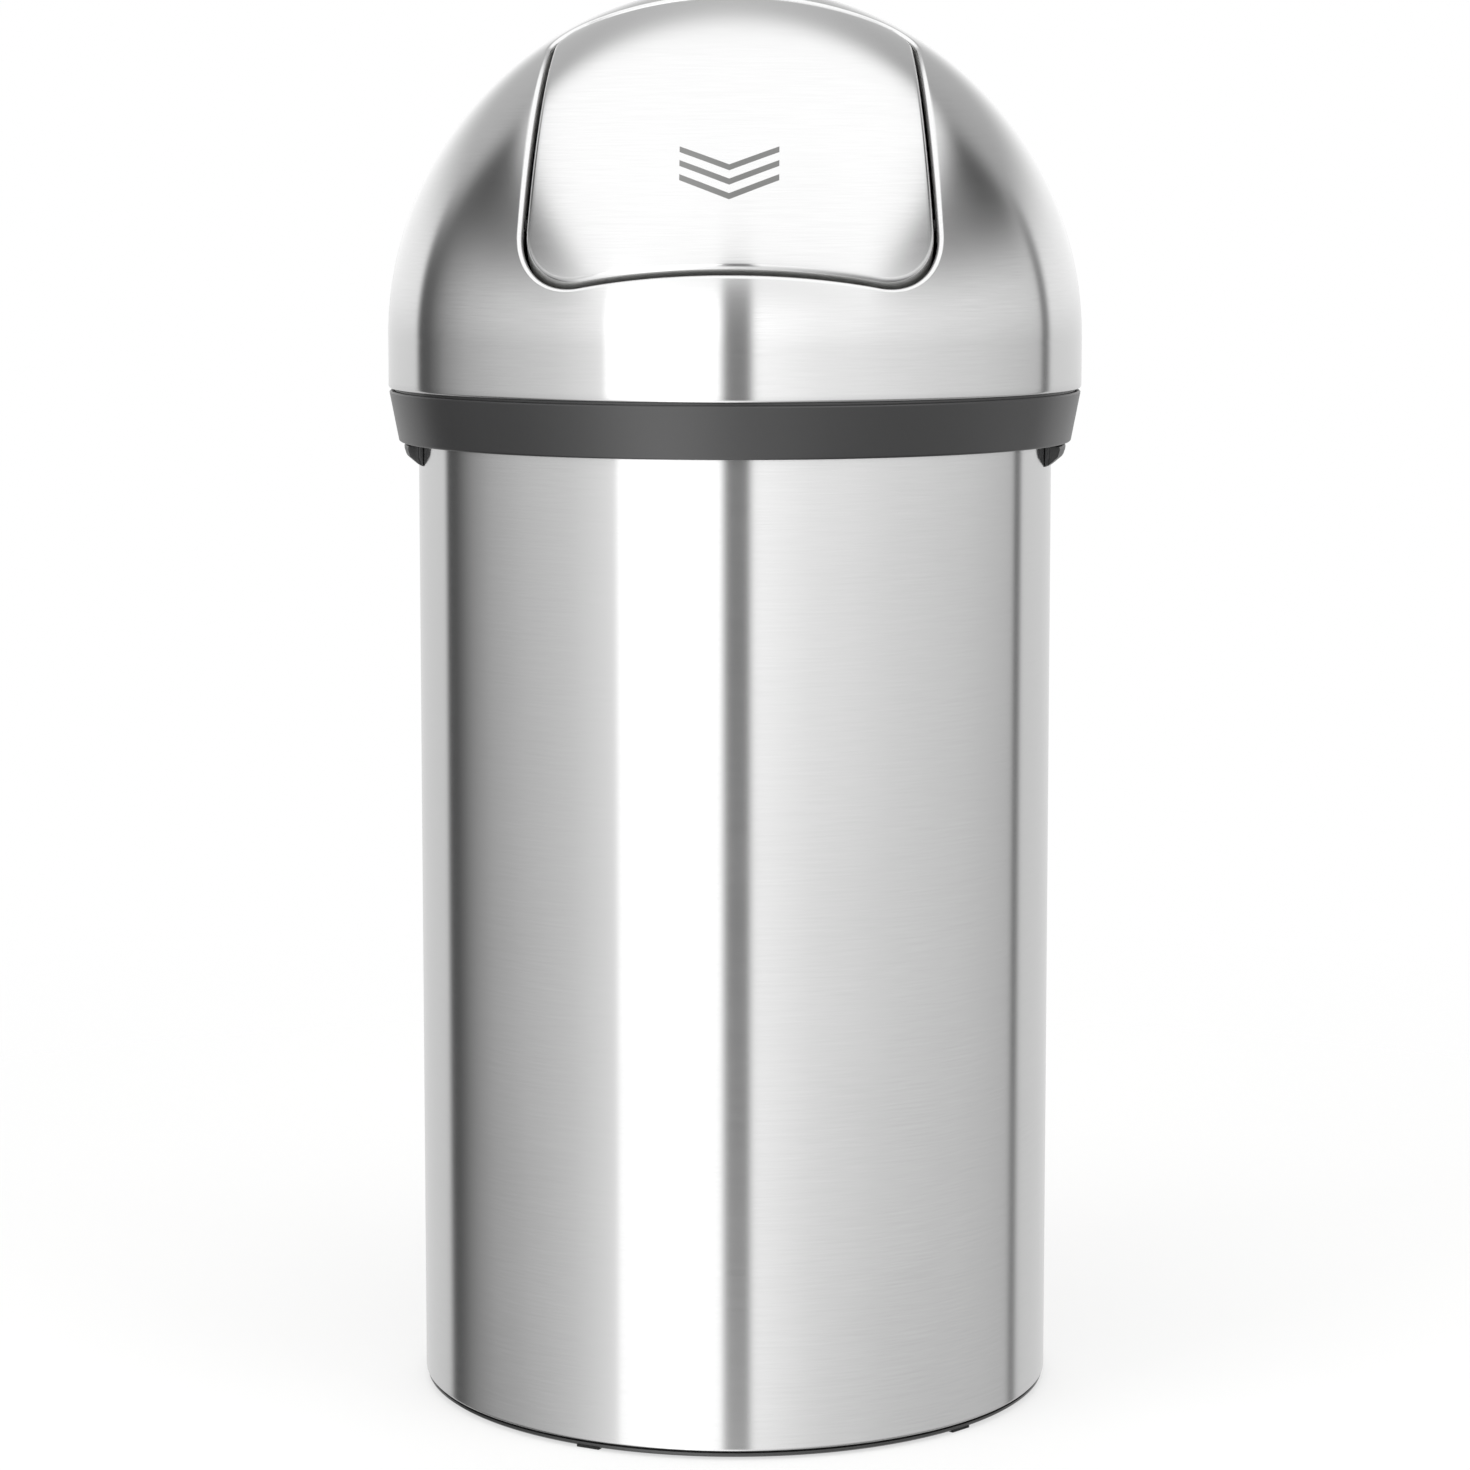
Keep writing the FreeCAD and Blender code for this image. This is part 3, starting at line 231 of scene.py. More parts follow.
def fittingSteel(name, dark, light, roughness, cell, stretch=(1.0, 1.0, 1.0)):
    material, tree = newTree(name)
    place = addNode(tree, "TexCoord")
    drawn = addNode(tree, "Mapping", None, {"Vector": place.outputs["Object"], "Scale": stretch})
    cells = addNode(tree, "TexVoronoi", None, {"Vector": drawn.outputs[0], "Scale": 1000 / cell})
    grain = addNode(tree, "TexNoise", None, {"Vector": drawn.outputs[0], "Scale": 3000 / cell, "Detail": 3.0})
    tone = addNode(tree, "Math", {"operation": "MULTIPLY_ADD"},
                   {0: cells.outputs["Distance"], 1: fitting["mottle"], 2: grain.outputs[0]})
    colour = addNode(tree, "Mix", {"data_type": "RGBA"},
                     {0: tone.outputs[0], 6: linear(dark), 7: linear(light)})
    first, last = fitting["span"]
    rough = addNode(tree, "MapRange", None,
                    {0: grain.outputs[0], 1: first, 2: last, 3: roughness[0], 4: roughness[1]})
    shader = addNode(tree, "BsdfPrincipled", None, {
        "Base Color": colour.outputs[2], "Metallic": 1.0, "Roughness": rough.outputs[0]})
    closeTree(tree, shader)
    return material


finish = {
    "tube": brushedSteel("stainless tube, belt brushed"),
    "dome": brushedSteel("stainless dome, spun and brushed"),
    "flap": brushedSteel("stainless flap, pressed and brushed", pressMark),
    "mill": fittingSteel("stainless sheet, cold rolled, edges left unbrushed",
                         "#bdbdbc", "#cfcfce", (0.5, 0.6), cell=0.8),
    "collar": mouldedPlastic("polypropylene, moulded dark grey",
                             "#161617", "#1c1c1d", (0.3, 0.37), grain=0.9, depth=0.08, gloss=1.0),
    "grip": mouldedPlastic("polypropylene, moulded black",
                           "#1b1b1c", "#262627", (0.34, 0.46), grain=0.9, depth=0.1),
    "inner": mouldedPlastic("polypropylene, moulded black matt",
                            "#161617", "#202021", (0.5, 0.62), grain=1.2, depth=0.15),
    # Painted light: the opening frame is coloured light grey so that the gap round the flap shows as grey and
    # not as black shade.
    "frame": mouldedPlastic("polypropylene, light grey painting light into the flap gap",
                            "#979797", "#a2a2a2", (0.42, 0.52), grain=0.9, depth=0.08),
    "rubber": mouldedPlastic("rubber, moulded black",
                             "#121212", "#1d1d1d", (0.7, 0.82), grain=1.4, depth=0.2),
    "acetal": mouldedPlastic("acetal, turned natural white",
                             "#dcdad3", "#e8e6e0", (0.3, 0.4), grain=2.0, depth=0.05),
    "zinc": fittingSteel("mild steel, bright zinc plated",
                         "#a9adb3", "#c6cad0", (0.22, 0.34), cell=1.6),
    "galvanised": fittingSteel("steel sheet, hot-dip galvanised",
                               "#8d9194", "#aeb2b5", (0.36, 0.5), cell=14.0),
    "ground": fittingSteel("steel pin, centreless ground",
                           "#b4b4b2", "#cfcfcd", (0.12, 0.2), cell=0.8, stretch=(12.0, 1.0, 1.0)),
    "wire": fittingSteel("spring wire, drawn and blued",
                         "#4c4d50", "#6b6c70", (0.25, 0.36), cell=0.6),
}
print("finishes:", len(finish))


# Surfaces
# Puts a grid of points (rows, columns, 3) into a mesh of quads. Both directions close on themselves
# unless capped, where the first and last rows are single points. uv holds one more row and column
# than the grid where that direction closes. A shell whose signed volume is negative is turned over.
# The faces that start at millRows keep the sheet's unbrushed finish.
def addPiece(name, grid, uv, material, body, slot, replaced, capped=False, millRows=None):
    rows, columns = grid.shape[:2]
    points = grid.reshape(-1, 3) / 1000
    lastRow = rows - 1 if capped else rows
    i, j = np.meshgrid(np.arange(lastRow), np.arange(columns), indexing="ij")
    i, j = i.ravel(), j.ravel()
    corners = [(i, j), (i, j + 1), (i + 1, j + 1), (i + 1, j)]
    quads = np.stack([(a % rows) * columns + b % columns for a, b in corners], axis=1)
    loops = np.stack([uv[a, b] for a, b in corners], axis=1)
    a, b, c, d = (points[quads[:, k]] for k in range(4))
    volume = np.einsum("ij,ij->", a, np.cross(b, c)) + np.einsum("ij,ij->", a, np.cross(c, d))
    if volume < 0:
        quads, loops = quads[:, ::-1], loops[:, ::-1]
    mesh = bpy.data.meshes.new(name)
    mesh.from_pydata(points.tolist(), [], quads.tolist())
    layer = mesh.uv_layers.new(name="brush")
    layer.data.foreach_set("uv", (loops / 1000).astype(np.float32).ravel())
    mesh.polygons.foreach_set("use_smooth", np.ones(len(quads), bool))
    mesh.materials.append(material)
    if millRows is not None:
        mesh.materials.append(finish["mill"])
        mesh.polygons.foreach_set("material_index", np.isin(i, millRows).astype(np.int32))
    if capped:
        closePoles(mesh)
    piece = bpy.data.objects.new(name, mesh)
    bpy.context.scene.collection.objects.link(piece)
    if body:
        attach(piece, body)
    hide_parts(*replaced)
    return piece


poleWeld = 1e-7  # in metres: points this near to each other at a pole are one


def closePoles(mesh):
    work = bmesh.new()
    work.from_mesh(mesh)
    bmesh.ops.remove_doubles(work, verts=work.verts, dist=poleWeld)
    work.to_mesh(mesh)
    work.free()


# A closed outline of (radius, level) corners with each corner rounded by an arc of its own radius.
# The arc is c + (sin((1-k)t) s + sin(kt) e) / sin t between its ends s and e about its centre c,
# and a point just outside both ends keeps the long flats free of bent normals.
def roundedOutline(corners, rounds, arcSteps=6, support=0.4):
    corners = np.array(corners, float)
    sides = np.roll(corners, -1, axis=0) - corners
    lengths = np.linalg.norm(sides, axis=1)
    ahead = sides / lengths[:, None]
    behind = -np.roll(ahead, 1, axis=0)
    halves = np.arccos(np.clip(np.sum(ahead * behind, axis=1), -1, 1)) / 2
    cuts = np.array(rounds) / np.tan(halves)
    flats = lengths - cuts - np.roll(cuts, -1)
    reach = np.minimum(support, flats / 3)
    outline = []
    for number, radius in enumerate(rounds):
        spot, back, on, half = corners[number], behind[number], ahead[number], halves[number]
        start, end = spot + back * cuts[number], spot + on * cuts[number]
        centre = spot + (back + on) / np.linalg.norm(back + on) * radius / math.sin(half)
        swing = math.pi - 2 * half
        k = np.linspace(0, 1, arcSteps + 1)[:, None]
        bend = np.sin((1 - k) * swing) * (start - centre) + np.sin(k * swing) * (end - centre)
        arc = centre + bend / math.sin(swing)
        outline += [start + back * reach[number - 1], *arc, end + on * reach[number]]
    return np.array(outline)


# An outline turned about Z: (r cos a, r sin a, level). U runs round at the widest radius and V along
# the outline.
def turnedGrid(outline, turns=320):
    angle = np.linspace(0, 2 * np.pi, turns, endpoint=False) + np.pi / 2
    radius, level = outline[:, :1], outline[:, 1:]
    grid = np.stack(np.broadcast_arrays(radius * np.cos(angle), radius * np.sin(angle), level), axis=2)
    steps = np.linalg.norm(np.diff(np.vstack([outline, outline[:1]]), axis=0), axis=1)
    along = np.concatenate([[0], np.cumsum(steps)])
    around = np.linspace(0, 2 * np.pi, turns + 1) * outline[:, 0].max()
    return grid, np.stack(np.broadcast_arrays(around, along[:, None]), axis=2)


def addTurned(name, corners, rounds, material, body, slot, replaced):
    grid, uv = turnedGrid(roundedOutline(corners, rounds))
    addPiece(name, grid, uv, material, body, slot, [replaced])


# Tube with a turned-in hem, the plastic rim below it, and the channel on its upper edge
tube = {"wall": 0.8, "hem": 11.0, "bend": 1.2}
hemBore = tubeRadius - tube["hem"]
tubeBore = tubeRadius - tube["wall"]
hemTop = tubeLow[2] + tube["wall"]
addTurned("tubeSheet", [
    (tubeRadius, tubeHigh[2]), (tubeRadius, tubeLow[2]), (hemBore, tubeLow[2]),
    (hemBore, hemTop), (tubeBore, hemTop), (tubeBore, tubeHigh[2]),
], [0.2, tube["bend"], 0.2, 0.2, 0.4, 0.2], finish["tube"], "bin", "brushed_steel_sheet", "body_tube")

baseRim = {"width": 18.0, "inset": 1.0, "bevel": 1.6, "groove": 1.0, "grooveDepth": 2.8, "fit": 0.4}
rimLow, rimHigh = nodeBox("base_ring")
rimEdge = tubeRadius - baseRim["inset"]
rimBore = tubeRadius - baseRim["width"]
rimTop = tubeLow[2] - baseRim["groove"]
grooveFloor = rimEdge - baseRim["grooveDepth"]
rimStep = hemBore - baseRim["fit"]
addTurned("baseRim", [
    (rimBore, rimLow[2]), (rimEdge - baseRim["bevel"], rimLow[2]), (rimEdge, (rimLow[2] + rimTop) / 2),
    (rimEdge, rimTop), (grooveFloor, rimTop), (grooveFloor, tubeLow[2]),
    (rimStep, tubeLow[2]), (rimStep, rimHigh[2]), (rimBore, rimHigh[2]),
], [0.2, 0.5, 0.5, 0.15, 0.15, 0.15, 0.1, 0.1, 0.1], finish["collar"], "bin", "grey_plastic", "base_ring")

channel = {"wall": 2.2, "fit": 0.4, "ledge": 3.6, "ledgeDrop": 11.6, "skirt": 12.0}
channelHigh = nodeBox("rim_trim")[1]
channelTop = channelHigh[2]
channelLow = channelTop - channel["skirt"]
channelOut, channelIn = channelHigh[0], tubeBore - channel["fit"] - channel["wall"]
ledgeTop = channelTop - channel["ledgeDrop"]
ledgeIn = channelIn - channel["ledge"]
slotOut, slotIn = tubeRadius + channel["fit"], tubeBore - channel["fit"]
addTurned("rimChannel", [
    (channelIn, channelTop), (channelOut, channelTop), (channelOut, channelLow),
    (slotOut, channelLow), (slotOut, tubeHigh[2]), (slotIn, tubeHigh[2]),
    (slotIn, ledgeTop - channel["wall"]), (ledgeIn, ledgeTop - channel["wall"]), (ledgeIn, ledgeTop),
    (channelIn, ledgeTop),
], [0.7, 0.7, 0.4, 0.3, 0.2, 0.2, 0.3, 0.4, 0.4, 0.4], finish["inner"], "bin", "black_plastic", "rim_trim")

# Collar: a cone that carries the dome, with a groove below the dome's hem and a spigot inside it
collar = {"wall": 2.4, "draft": 5.1, "groove": 1.2, "grooveDepth": 3.4, "edge": 0.8, "hemWidth": 4.0,
          "fit": 0.4, "slide": 0.6, "guide": 9.0, "flange": 2.4}
collarLow, collarHigh = nodeBox("collar_ring")
collarOut = collarHigh[0]
collarFoot = collarOut - collar["draft"]
collarLand = channelTop + collar["flange"]
shoulder = collarLand - collar["groove"]
collarBore = channelIn + collar["slide"]
guideIn = channelOut + collar["slide"]
guideOut = guideIn + collar["wall"]
spigotOut = domeRadius - collar["hemWidth"] - collar["fit"]
spigotIn = spigotOut - collar["wall"]
guideLow = channelTop - collar["guide"]
grooveIn = domeRadius - collar["grooveDepth"]
addTurned("collarCone", [
    (collarBore, channelTop), (guideIn, channelTop), (guideIn, guideLow),
    (guideOut, guideLow), (guideOut, channelTop), (collarOut - collar["wall"], channelTop),
    (collarFoot - collar["wall"], collarLow[2]), (collarFoot, collarLow[2]),
    (collarOut, shoulder - collar["edge"]), (collarOut - collar["edge"], shoulder),
    (grooveIn, shoulder), (grooveIn, collarLand),
    (spigotOut, collarLand), (spigotOut, collarHigh[2]), (spigotIn, collarHigh[2]), (spigotIn, collarLand),
    (collarBore, collarLand),
], [0.4, 0.1, 0.3, 0.3, 0.4, 0.6, 0.3, 1.2, 0.4, 0.2, 0.1, 0.1, 0.2, 0.4, 0.4, 0.3, 0.4],
    finish["collar"], "dome", "grey_plastic", "collar_ring")
print("turned pieces: 4")

# Bag ring: a turned flange whose upper edge rises into two finger tabs by a smooth step of |angle|. The rim
# is the low edge that the tabs grow from, and between them it sinks a little.
bagRing = {"wall": 2.4, "flange": 2.6, "tabTurn": 24.0, "tab": 7.5, "tabRound": 1.2, "slide": 0.6,
           "rim": 1.0, "rimSink": 0.25, "rimFrom": 0.3, "rimSpan": 0.4, "columns": 720}


def bagRingGrid():
    low, high = nodeBox("liner_ring")
    outer = ledgeIn - bagRing["slide"]
    inner = outer - bagRing["wall"]
    flangeTop = ledgeTop + bagRing["flange"]
    outline = roundedOutline([
        (inner, low[2]), (outer, low[2]), (outer, ledgeTop), (high[0], ledgeTop), (high[0], flangeTop),
        (outer, flangeTop), (outer, flangeTop + bagRing["rim"]), (inner, flangeTop + bagRing["rim"]),
    ], [0.4, 0.4, 0.3, 0.5, 0.5, 0.3, 0.3, 0.4])
    grid, uv = turnedGrid(outline, bagRing["columns"])
    angle = np.degrees(np.arctan2(grid[..., 1], grid[..., 0]))
    fromTab = np.minimum(np.abs(angle), 180 - np.abs(angle))
    rise = np.clip((bagRing["tabTurn"] / 2 - fromTab) / bagRing["tabRound"] + 0.5, 0, 1)
    rise = rise * rise * (3 - 2 * rise)
    share = np.clip((grid[..., 2] - flangeTop - bagRing["rimFrom"]) / bagRing["rimSpan"], 0, 1)
    grid[..., 2] += share * (rise * (bagRing["tab"] - bagRing["rim"]) - (1 - rise) * bagRing["rimSink"])
    return grid, uv


addPiece("bagRing", *bagRingGrid(), finish["inner"], "liner", "black_plastic", ["liner_ring"])
print("bag ring done")

# Mouth of the dome, drawn in a plane through the dome's centre that is tilted back. The steps are the
# points on half the top, a top corner, a side, a low corner and half the sill.
mouth = {"tilt": 48.0, "top": 99.0, "bottom": 94.5, "halfWidth": 101.3, "taper": 3.8, "topCorner": 22.0,
         "bottomCorner": 35.0, "sill": 565.0, "steps": (24, 24, 36, 30, 30)}
tilt = math.radians(mouth["tilt"])
acrossAxis = np.array([1.0, 0.0, 0.0])
upAxis = np.array([0.0, math.cos(tilt), math.sin(tilt)])
outAxis = np.array([0.0, -math.sin(tilt), math.cos(tilt)])
domeMiddle = np.array([0.0, 0.0, domeCentre])


# The mouth moved inward by an inset: points and outward normals in the tilted plane, from the middle
# of the top clockwise. Lines and arcs meet at tangents; the lower corners touch the sill's arc inside.
def mouthOutline(inset):
    taper = math.radians(mouth["taper"])
    top, low = mouth["top"] - inset, mouth["bottom"] - inset
    topRound, lowRound = mouth["topCorner"] - inset, mouth["bottomCorner"] - inset
    sill = mouth["sill"] - inset
    reach = mouth["halfWidth"] * math.cos(taper) - inset
    highAcross = (reach - topRound - (top - topRound) * math.sin(taper)) / math.cos(taper)
    highSpot = np.array([highAcross, top - topRound])
    a, b = (reach - lowRound) / math.cos(taper), math.tan(taper)
    k, q = sill - low, sill - lowRound
    root = math.sqrt((a * b + k) ** 2 - (1 + b * b) * (a * a + k * k - q * q))
    deep = (a * b + k - root) / (1 + b * b)
    lowSpot = np.array([a - b * deep, deep])
    swing = math.atan2(lowSpot[0], k - lowSpot[1])
    runs = []

    def addLine(start, end, facing, count):
        t = np.linspace(0, 1, count, endpoint=False)[:, None]
        runs.append((start + t * (end - start), np.broadcast_to(facing, (len(t), 2))))

    def addArc(centre, radius, first, last, count):
        angle = np.linspace(first, last, count, endpoint=False)
        facing = np.stack([np.cos(angle), np.sin(angle)], axis=1)
        runs.append((centre + radius * facing, facing))

    lean = np.array([math.cos(taper), math.sin(taper)])
    steps = mouth["steps"]
    addLine(np.array([0, top]), np.array([highSpot[0], top]), np.array([0.0, 1.0]), steps[0])
    addArc(highSpot, topRound, math.pi / 2, taper, steps[1])
    addLine(highSpot + topRound * lean, lowSpot + lowRound * lean, lean, steps[2])
    addArc(lowSpot, lowRound, taper, swing - math.pi / 2, steps[3])
    addArc(np.array([0, k]), sill, swing - math.pi / 2, -math.pi / 2, steps[4])
    spots = np.vstack([run[0] for run in runs] + [[[0, -low]]])
    facing = np.vstack([run[1] for run in runs] + [[[0, -1.0]]])
    flip = np.array([-1.0, 1.0])
    return (np.vstack([spots, spots[-2:0:-1] * flip]), np.vstack([facing, facing[-2:0:-1] * flip]))


def fromPlane(flat, height):
    return domeMiddle + flat[..., :1] * acrossAxis + flat[..., 1:] * upAxis + height[..., None] * outAxis


# A bend between two directions seen from its centre: c + r * (sin((1-k)t) s + sin(kt) e) / sin t
def bendRows(centre, radius, start, end, count):
    swing = np.arccos(np.clip(np.sum(start * end, axis=-1, keepdims=True), -1, 1))
    k = np.linspace(0, 1, count)[:, None, None]
    return centre + radius * (np.sin((1 - k) * swing) * start + np.sin(k * swing) * end) / np.sin(swing)


def lineRows(start, end, count):
    k = np.linspace(0, 1, count)[:, None, None]
    return start + k * (end - start)


# Azimuth and elevation on the ball as lengths: U = R * azimuth from the front, V = R * elevation.
def ballUv(grid, radius):
    spot = grid - domeMiddle
    azimuth = np.arctan2(spot[..., 0], -spot[..., 1])
    flat = np.hypot(spot[..., 0], spot[..., 1])
    rise = np.where(spot[..., 2] > 0, radius * np.arctan2(spot[..., 2], flat), spot[..., 2])
    uv = np.stack([radius * azimuth, rise], axis=2)
    uv = np.concatenate([uv, uv[:, :1]], axis=1)
    turn = 2 * np.pi * radius
    jump = np.cumsum(np.round(np.diff(uv[..., 0], axis=1, prepend=uv[:, :1, 0]) / turn), axis=1)
    uv[..., 0] -= jump * turn
    return np.concatenate([uv, uv[:1]], axis=0)


# Dome: each column starts at the lip, rolls over it, follows a great circle away from the mouth
# down to the skirt, bends under as the hem and comes back along the inside.
dome = {"wall": 1.0, "lip": 2.0, "lipDepth": 9.0, "hem": 4.0, "hemBend": 1.6,
        "rows": {"wall": 8, "lip": 13, "ball": 60, "skirt": 12, "hem": 7, "edge": 4},
        "crowd": 1.25,    # power that draws the ball's rows towards the lip
        "brushFrom": 10}  # row on the lip where the brushing starts


def domeSide(inset, radius, bend, hemLevel, hemRound):
    rows = dome["rows"]
    spots, facing = mouthOutline(inset)
    flat = spots + facing * bend
    height = np.sqrt((radius - bend) ** 2 - np.sum(flat ** 2, axis=1))
    deep = np.sqrt((domeRadius - dome["lipDepth"]) ** 2 - np.sum(spots ** 2, axis=1))
    centre = fromPlane(flat, height)
    inward = -(facing[:, :1] * acrossAxis + facing[:, 1:] * upAxis)
    radial = (centre - domeMiddle) / (radius - bend)
    wallRows = lineRows(fromPlane(spots, deep), fromPlane(spots, height), rows["wall"])[:-1]
    lipRows = bendRows(centre, bend, inward, radial, rows["lip"])
    turn = np.arctan2(flat[:, 1], flat[:, 0])
    first = np.arctan2(np.linalg.norm(flat, axis=1), height)
    last = np.arctan2(outAxis[2], -upAxis[2] * np.sin(turn))
    k = np.linspace(0, 1, rows["ball"])[1:, None] ** dome["crowd"]
    polar = (first + k * (last - first))[..., None]
    away = np.cos(turn)[:, None] * acrossAxis + np.sin(turn)[:, None] * upAxis
    ballRows = domeMiddle + radius * (np.cos(polar) * outAxis + np.sin(polar) * away)
    sideways = (ballRows[-1] - domeMiddle) / radius
    foot = domeMiddle + sideways * radius + np.array([0, 0, hemLevel + hemRound - domeCentre])
    skirtRows = lineRows(ballRows[-1], foot, rows["skirt"])[1:]
    down = np.broadcast_to(np.array([0.0, 0.0, -1.0]), sideways.shape)
    hemRows = bendRows(foot - sideways * hemRound, hemRound, sideways, down, rows["hem"])[1:]
    edge = sideways * (domeRadius - dome["hem"]) + np.array([0, 0, hemLevel])
    edgeRows = lineRows(hemRows[-1], edge, rows["edge"])[1:]
    return np.concatenate([wallRows, lipRows, ballRows, skirtRows, hemRows, edgeRows])


hemLevel = domeLow[2]
outerSide = domeSide(0.0, domeRadius, dome["lip"], hemLevel, dome["hemBend"])
innerSide = domeSide(-dome["wall"], domeRadius - dome["wall"], dome["lip"] - dome["wall"],
                     hemLevel + dome["wall"], dome["hemBend"] - dome["wall"])
domeGrid = np.concatenate([outerSide, innerSide[::-1]])
domeUnbrushed = np.append(np.arange(dome["brushFrom"]), np.arange(len(outerSide), len(domeGrid)))
addPiece("domeSheet", domeGrid, ballUv(domeGrid, domeRadius), finish["dome"], "dome", "brushed_steel_sheet",
         ["dome_shell"], millRows=domeUnbrushed)
print("dome done")

# Flap: a panel of a slightly smaller ball with rolled edges; rows run from its middle out to the edge,
# round it, down the flange and back inside.
flap = {"gap": 2.0, "recess": 0.6, "wall": 0.8, "edge": 4.0, "flange": 8.0,
        "rows": {"ball": 56, "edge": 13, "flange": 6},
        "brushTo": 64}  # row on the rolled edge where the brushing ends


def flapSide(inset, radius, bend):
    rows = flap["rows"]
    spots, facing = mouthOutline(inset)
    flat = spots - facing * bend
    height = np.sqrt((radius - bend) ** 2 - np.sum(flat ** 2, axis=1))
    centre = fromPlane(flat, height)
    radial = (centre - domeMiddle) / (radius - bend)
    outward = facing[:, :1] * acrossAxis + facing[:, 1:] * upAxis
    turn = np.arctan2(flat[:, 1], flat[:, 0])
    last = np.arctan2(np.linalg.norm(flat, axis=1), height)
    polar = (np.linspace(0, 1, rows["ball"])[:-1, None] * last)[..., None]
    away = np.cos(turn)[:, None] * acrossAxis + np.sin(turn)[:, None] * upAxis
    ballRows = domeMiddle + radius * (np.cos(polar) * outAxis + np.sin(polar) * away)
    deep = np.sqrt((domeRadius - flap["recess"] - flap["flange"]) ** 2 - np.sum(spots ** 2, axis=1))
    edgeRows = bendRows(centre, bend, radial, outward, rows["edge"])
    flangeRows = lineRows(fromPlane(spots, height), fromPlane(spots, deep), rows["flange"])[1:]
    return np.concatenate([ballRows, edgeRows, flangeRows])


flapRadius = domeRadius - flap["recess"]
flapOuter = flapSide(flap["gap"], flapRadius, flap["edge"])
flapInner = flapSide(flap["gap"] + flap["wall"], flapRadius - flap["wall"], flap["edge"] - flap["wall"])
flapGrid = np.concatenate([flapOuter, flapInner[::-1]])
addPiece("flapSheet", flapGrid, ballUv(flapGrid, flapRadius), finish["flap"], "flap", "brushed_steel_sheet",
         ["flap_skin"], capped=True, millRows=np.arange(flap["brushTo"], len(flapGrid)))
print("flap done")

# Hand grips: thickness over the tube is a low plate with rounded lower corners and a finger bead,
# t(angle, z) = plate(z) + window(angle) * (bead(z) - plate(z)), rounded off towards the outline.
grip = {"turn": 45.0, "beadTurn": 28.8, "plate": 2.4, "plateEdge": 0.6, "plateSlope": 4.5, "corner": 14.0,
        "round": 0.9, "seat": 0.2, "beadFoot": 4.9, "beadNeck": 6.4, "beadShoulder": 8.6, "beadReach": 7.6,
        "beadTop": 11.6, "edge": 1.4, "soften": 1.6,
        "beside": 1.5,      # of the plate that keeps its width on each side of the bead
        "left": 0.6,        # of the plate that is left beyond that at the foot
        "beadSide": 1.0,    # over which the bead's ends fall to the plate
        "sample": 0.05,     # step of the bead's section before it is softened
        "rows": {"whole": 70, "ends": 8, "beadTop": 34},  # more of them at both ends and at the bead's top
        "rowsNear": {"ends": 1.0, "below": 2.4, "above": 1.0},
        "columns": {"bead": 24, "beadEnd": 14, "plate": 22},
        "columnsNear": 1.2,  # inside the bead's end
        "crowd": 0.7}        # power that draws the plate's columns towards its edge


def gripGrid(side):
    low, high = nodeBox("grip_right")
    tall = high[2] - low[2]
    inner = tubeRadius + grip["seat"]
    rows, near, columns = grip["rows"], grip["rowsNear"], grip["columns"]
    levels = np.unique(np.concatenate([
        np.linspace(0, tall, rows["whole"]), np.linspace(0, near["ends"], rows["ends"]),
        np.linspace(tall - near["ends"], tall, rows["ends"]),
        np.linspace(grip["beadTop"] - near["below"], grip["beadTop"] + near["above"], rows["beadTop"])]))
    fine = np.arange(-2, tall + 2, grip["sample"])
    bead = np.interp(fine, [0, grip["beadFoot"], grip["beadShoulder"], grip["beadTop"] - grip["edge"],
                            grip["beadTop"], grip["beadTop"] + 0.1],
                     [grip["plateEdge"], grip["beadNeck"], grip["beadReach"], grip["beadReach"],
                      grip["beadReach"] - grip["edge"], 0])
    spread = int(grip["soften"] / grip["sample"])
    bead = np.interp(levels, fine, np.convolve(bead, np.ones(spread) / spread, mode="same"))
    plate = np.interp(levels, [0, grip["plateSlope"]], [grip["plateEdge"], grip["plate"]])
    bead = np.maximum(bead, plate)
    half = math.radians(grip["turn"] / 2) * inner
    beadHalf = math.radians(grip["beadTurn"] / 2) * inner
    fixed = beadHalf + grip["beside"]
    drop = np.clip((grip["beadTop"] + grip["corner"] - levels) / grip["corner"], 0, 1)
    width = half - drop * drop * (3 - 2 * drop) * (half - fixed - grip["left"])
    share = np.unique(np.concatenate([
        np.linspace(0, 1, columns["bead"]),
        np.linspace(beadHalf - grip["columnsNear"], fixed, columns["beadEnd"]) / fixed]))
    outerShare = np.linspace(0, 1, columns["plate"])[1:] ** grip["crowd"]
    offset = np.concatenate([np.broadcast_to(share * fixed, (len(levels), len(share))),
                             fixed + outerShare * (width[:, None] - fixed)], axis=1)
    offset = np.concatenate([-offset[:, :0:-1], offset], axis=1)
    window = np.clip((beadHalf - np.abs(offset)) / grip["beadSide"] + 0.5, 0, 1)
    window = window * window * (3 - 2 * window)
    thick = plate[:, None] + window * (bead - plate)[:, None]
    fromEdge = np.minimum(width[:, None] - np.abs(offset), np.minimum(levels, tall - levels)[:, None])
    thick = thick * np.sqrt(1 - (1 - np.clip(fromEdge / grip["round"], 0, 1)) ** 2)
    angle = np.concatenate([offset, offset[:, ::-1]], axis=1) / inner + (0 if side > 0 else math.pi)
    radius = inner + np.concatenate([thick, np.zeros_like(thick)], axis=1)
    level = np.broadcast_to((low[2] + levels)[:, None], angle.shape)
    grid = np.stack([radius * np.cos(angle), radius * np.sin(angle), level], axis=2)
    across = np.arange(angle.shape[1] + 1.0)
    uv = np.stack(np.broadcast_arrays(across, np.append(levels, tall)[:, None]), axis=2)
    return grid, uv


for name, side in (("Left", -1), ("Right", 1)):
    addPiece("grip" + name, *gripGrid(side), finish["grip"], "bin", "black_plastic",
             ["grip_" + name.lower()], capped=True)
print("grips done")
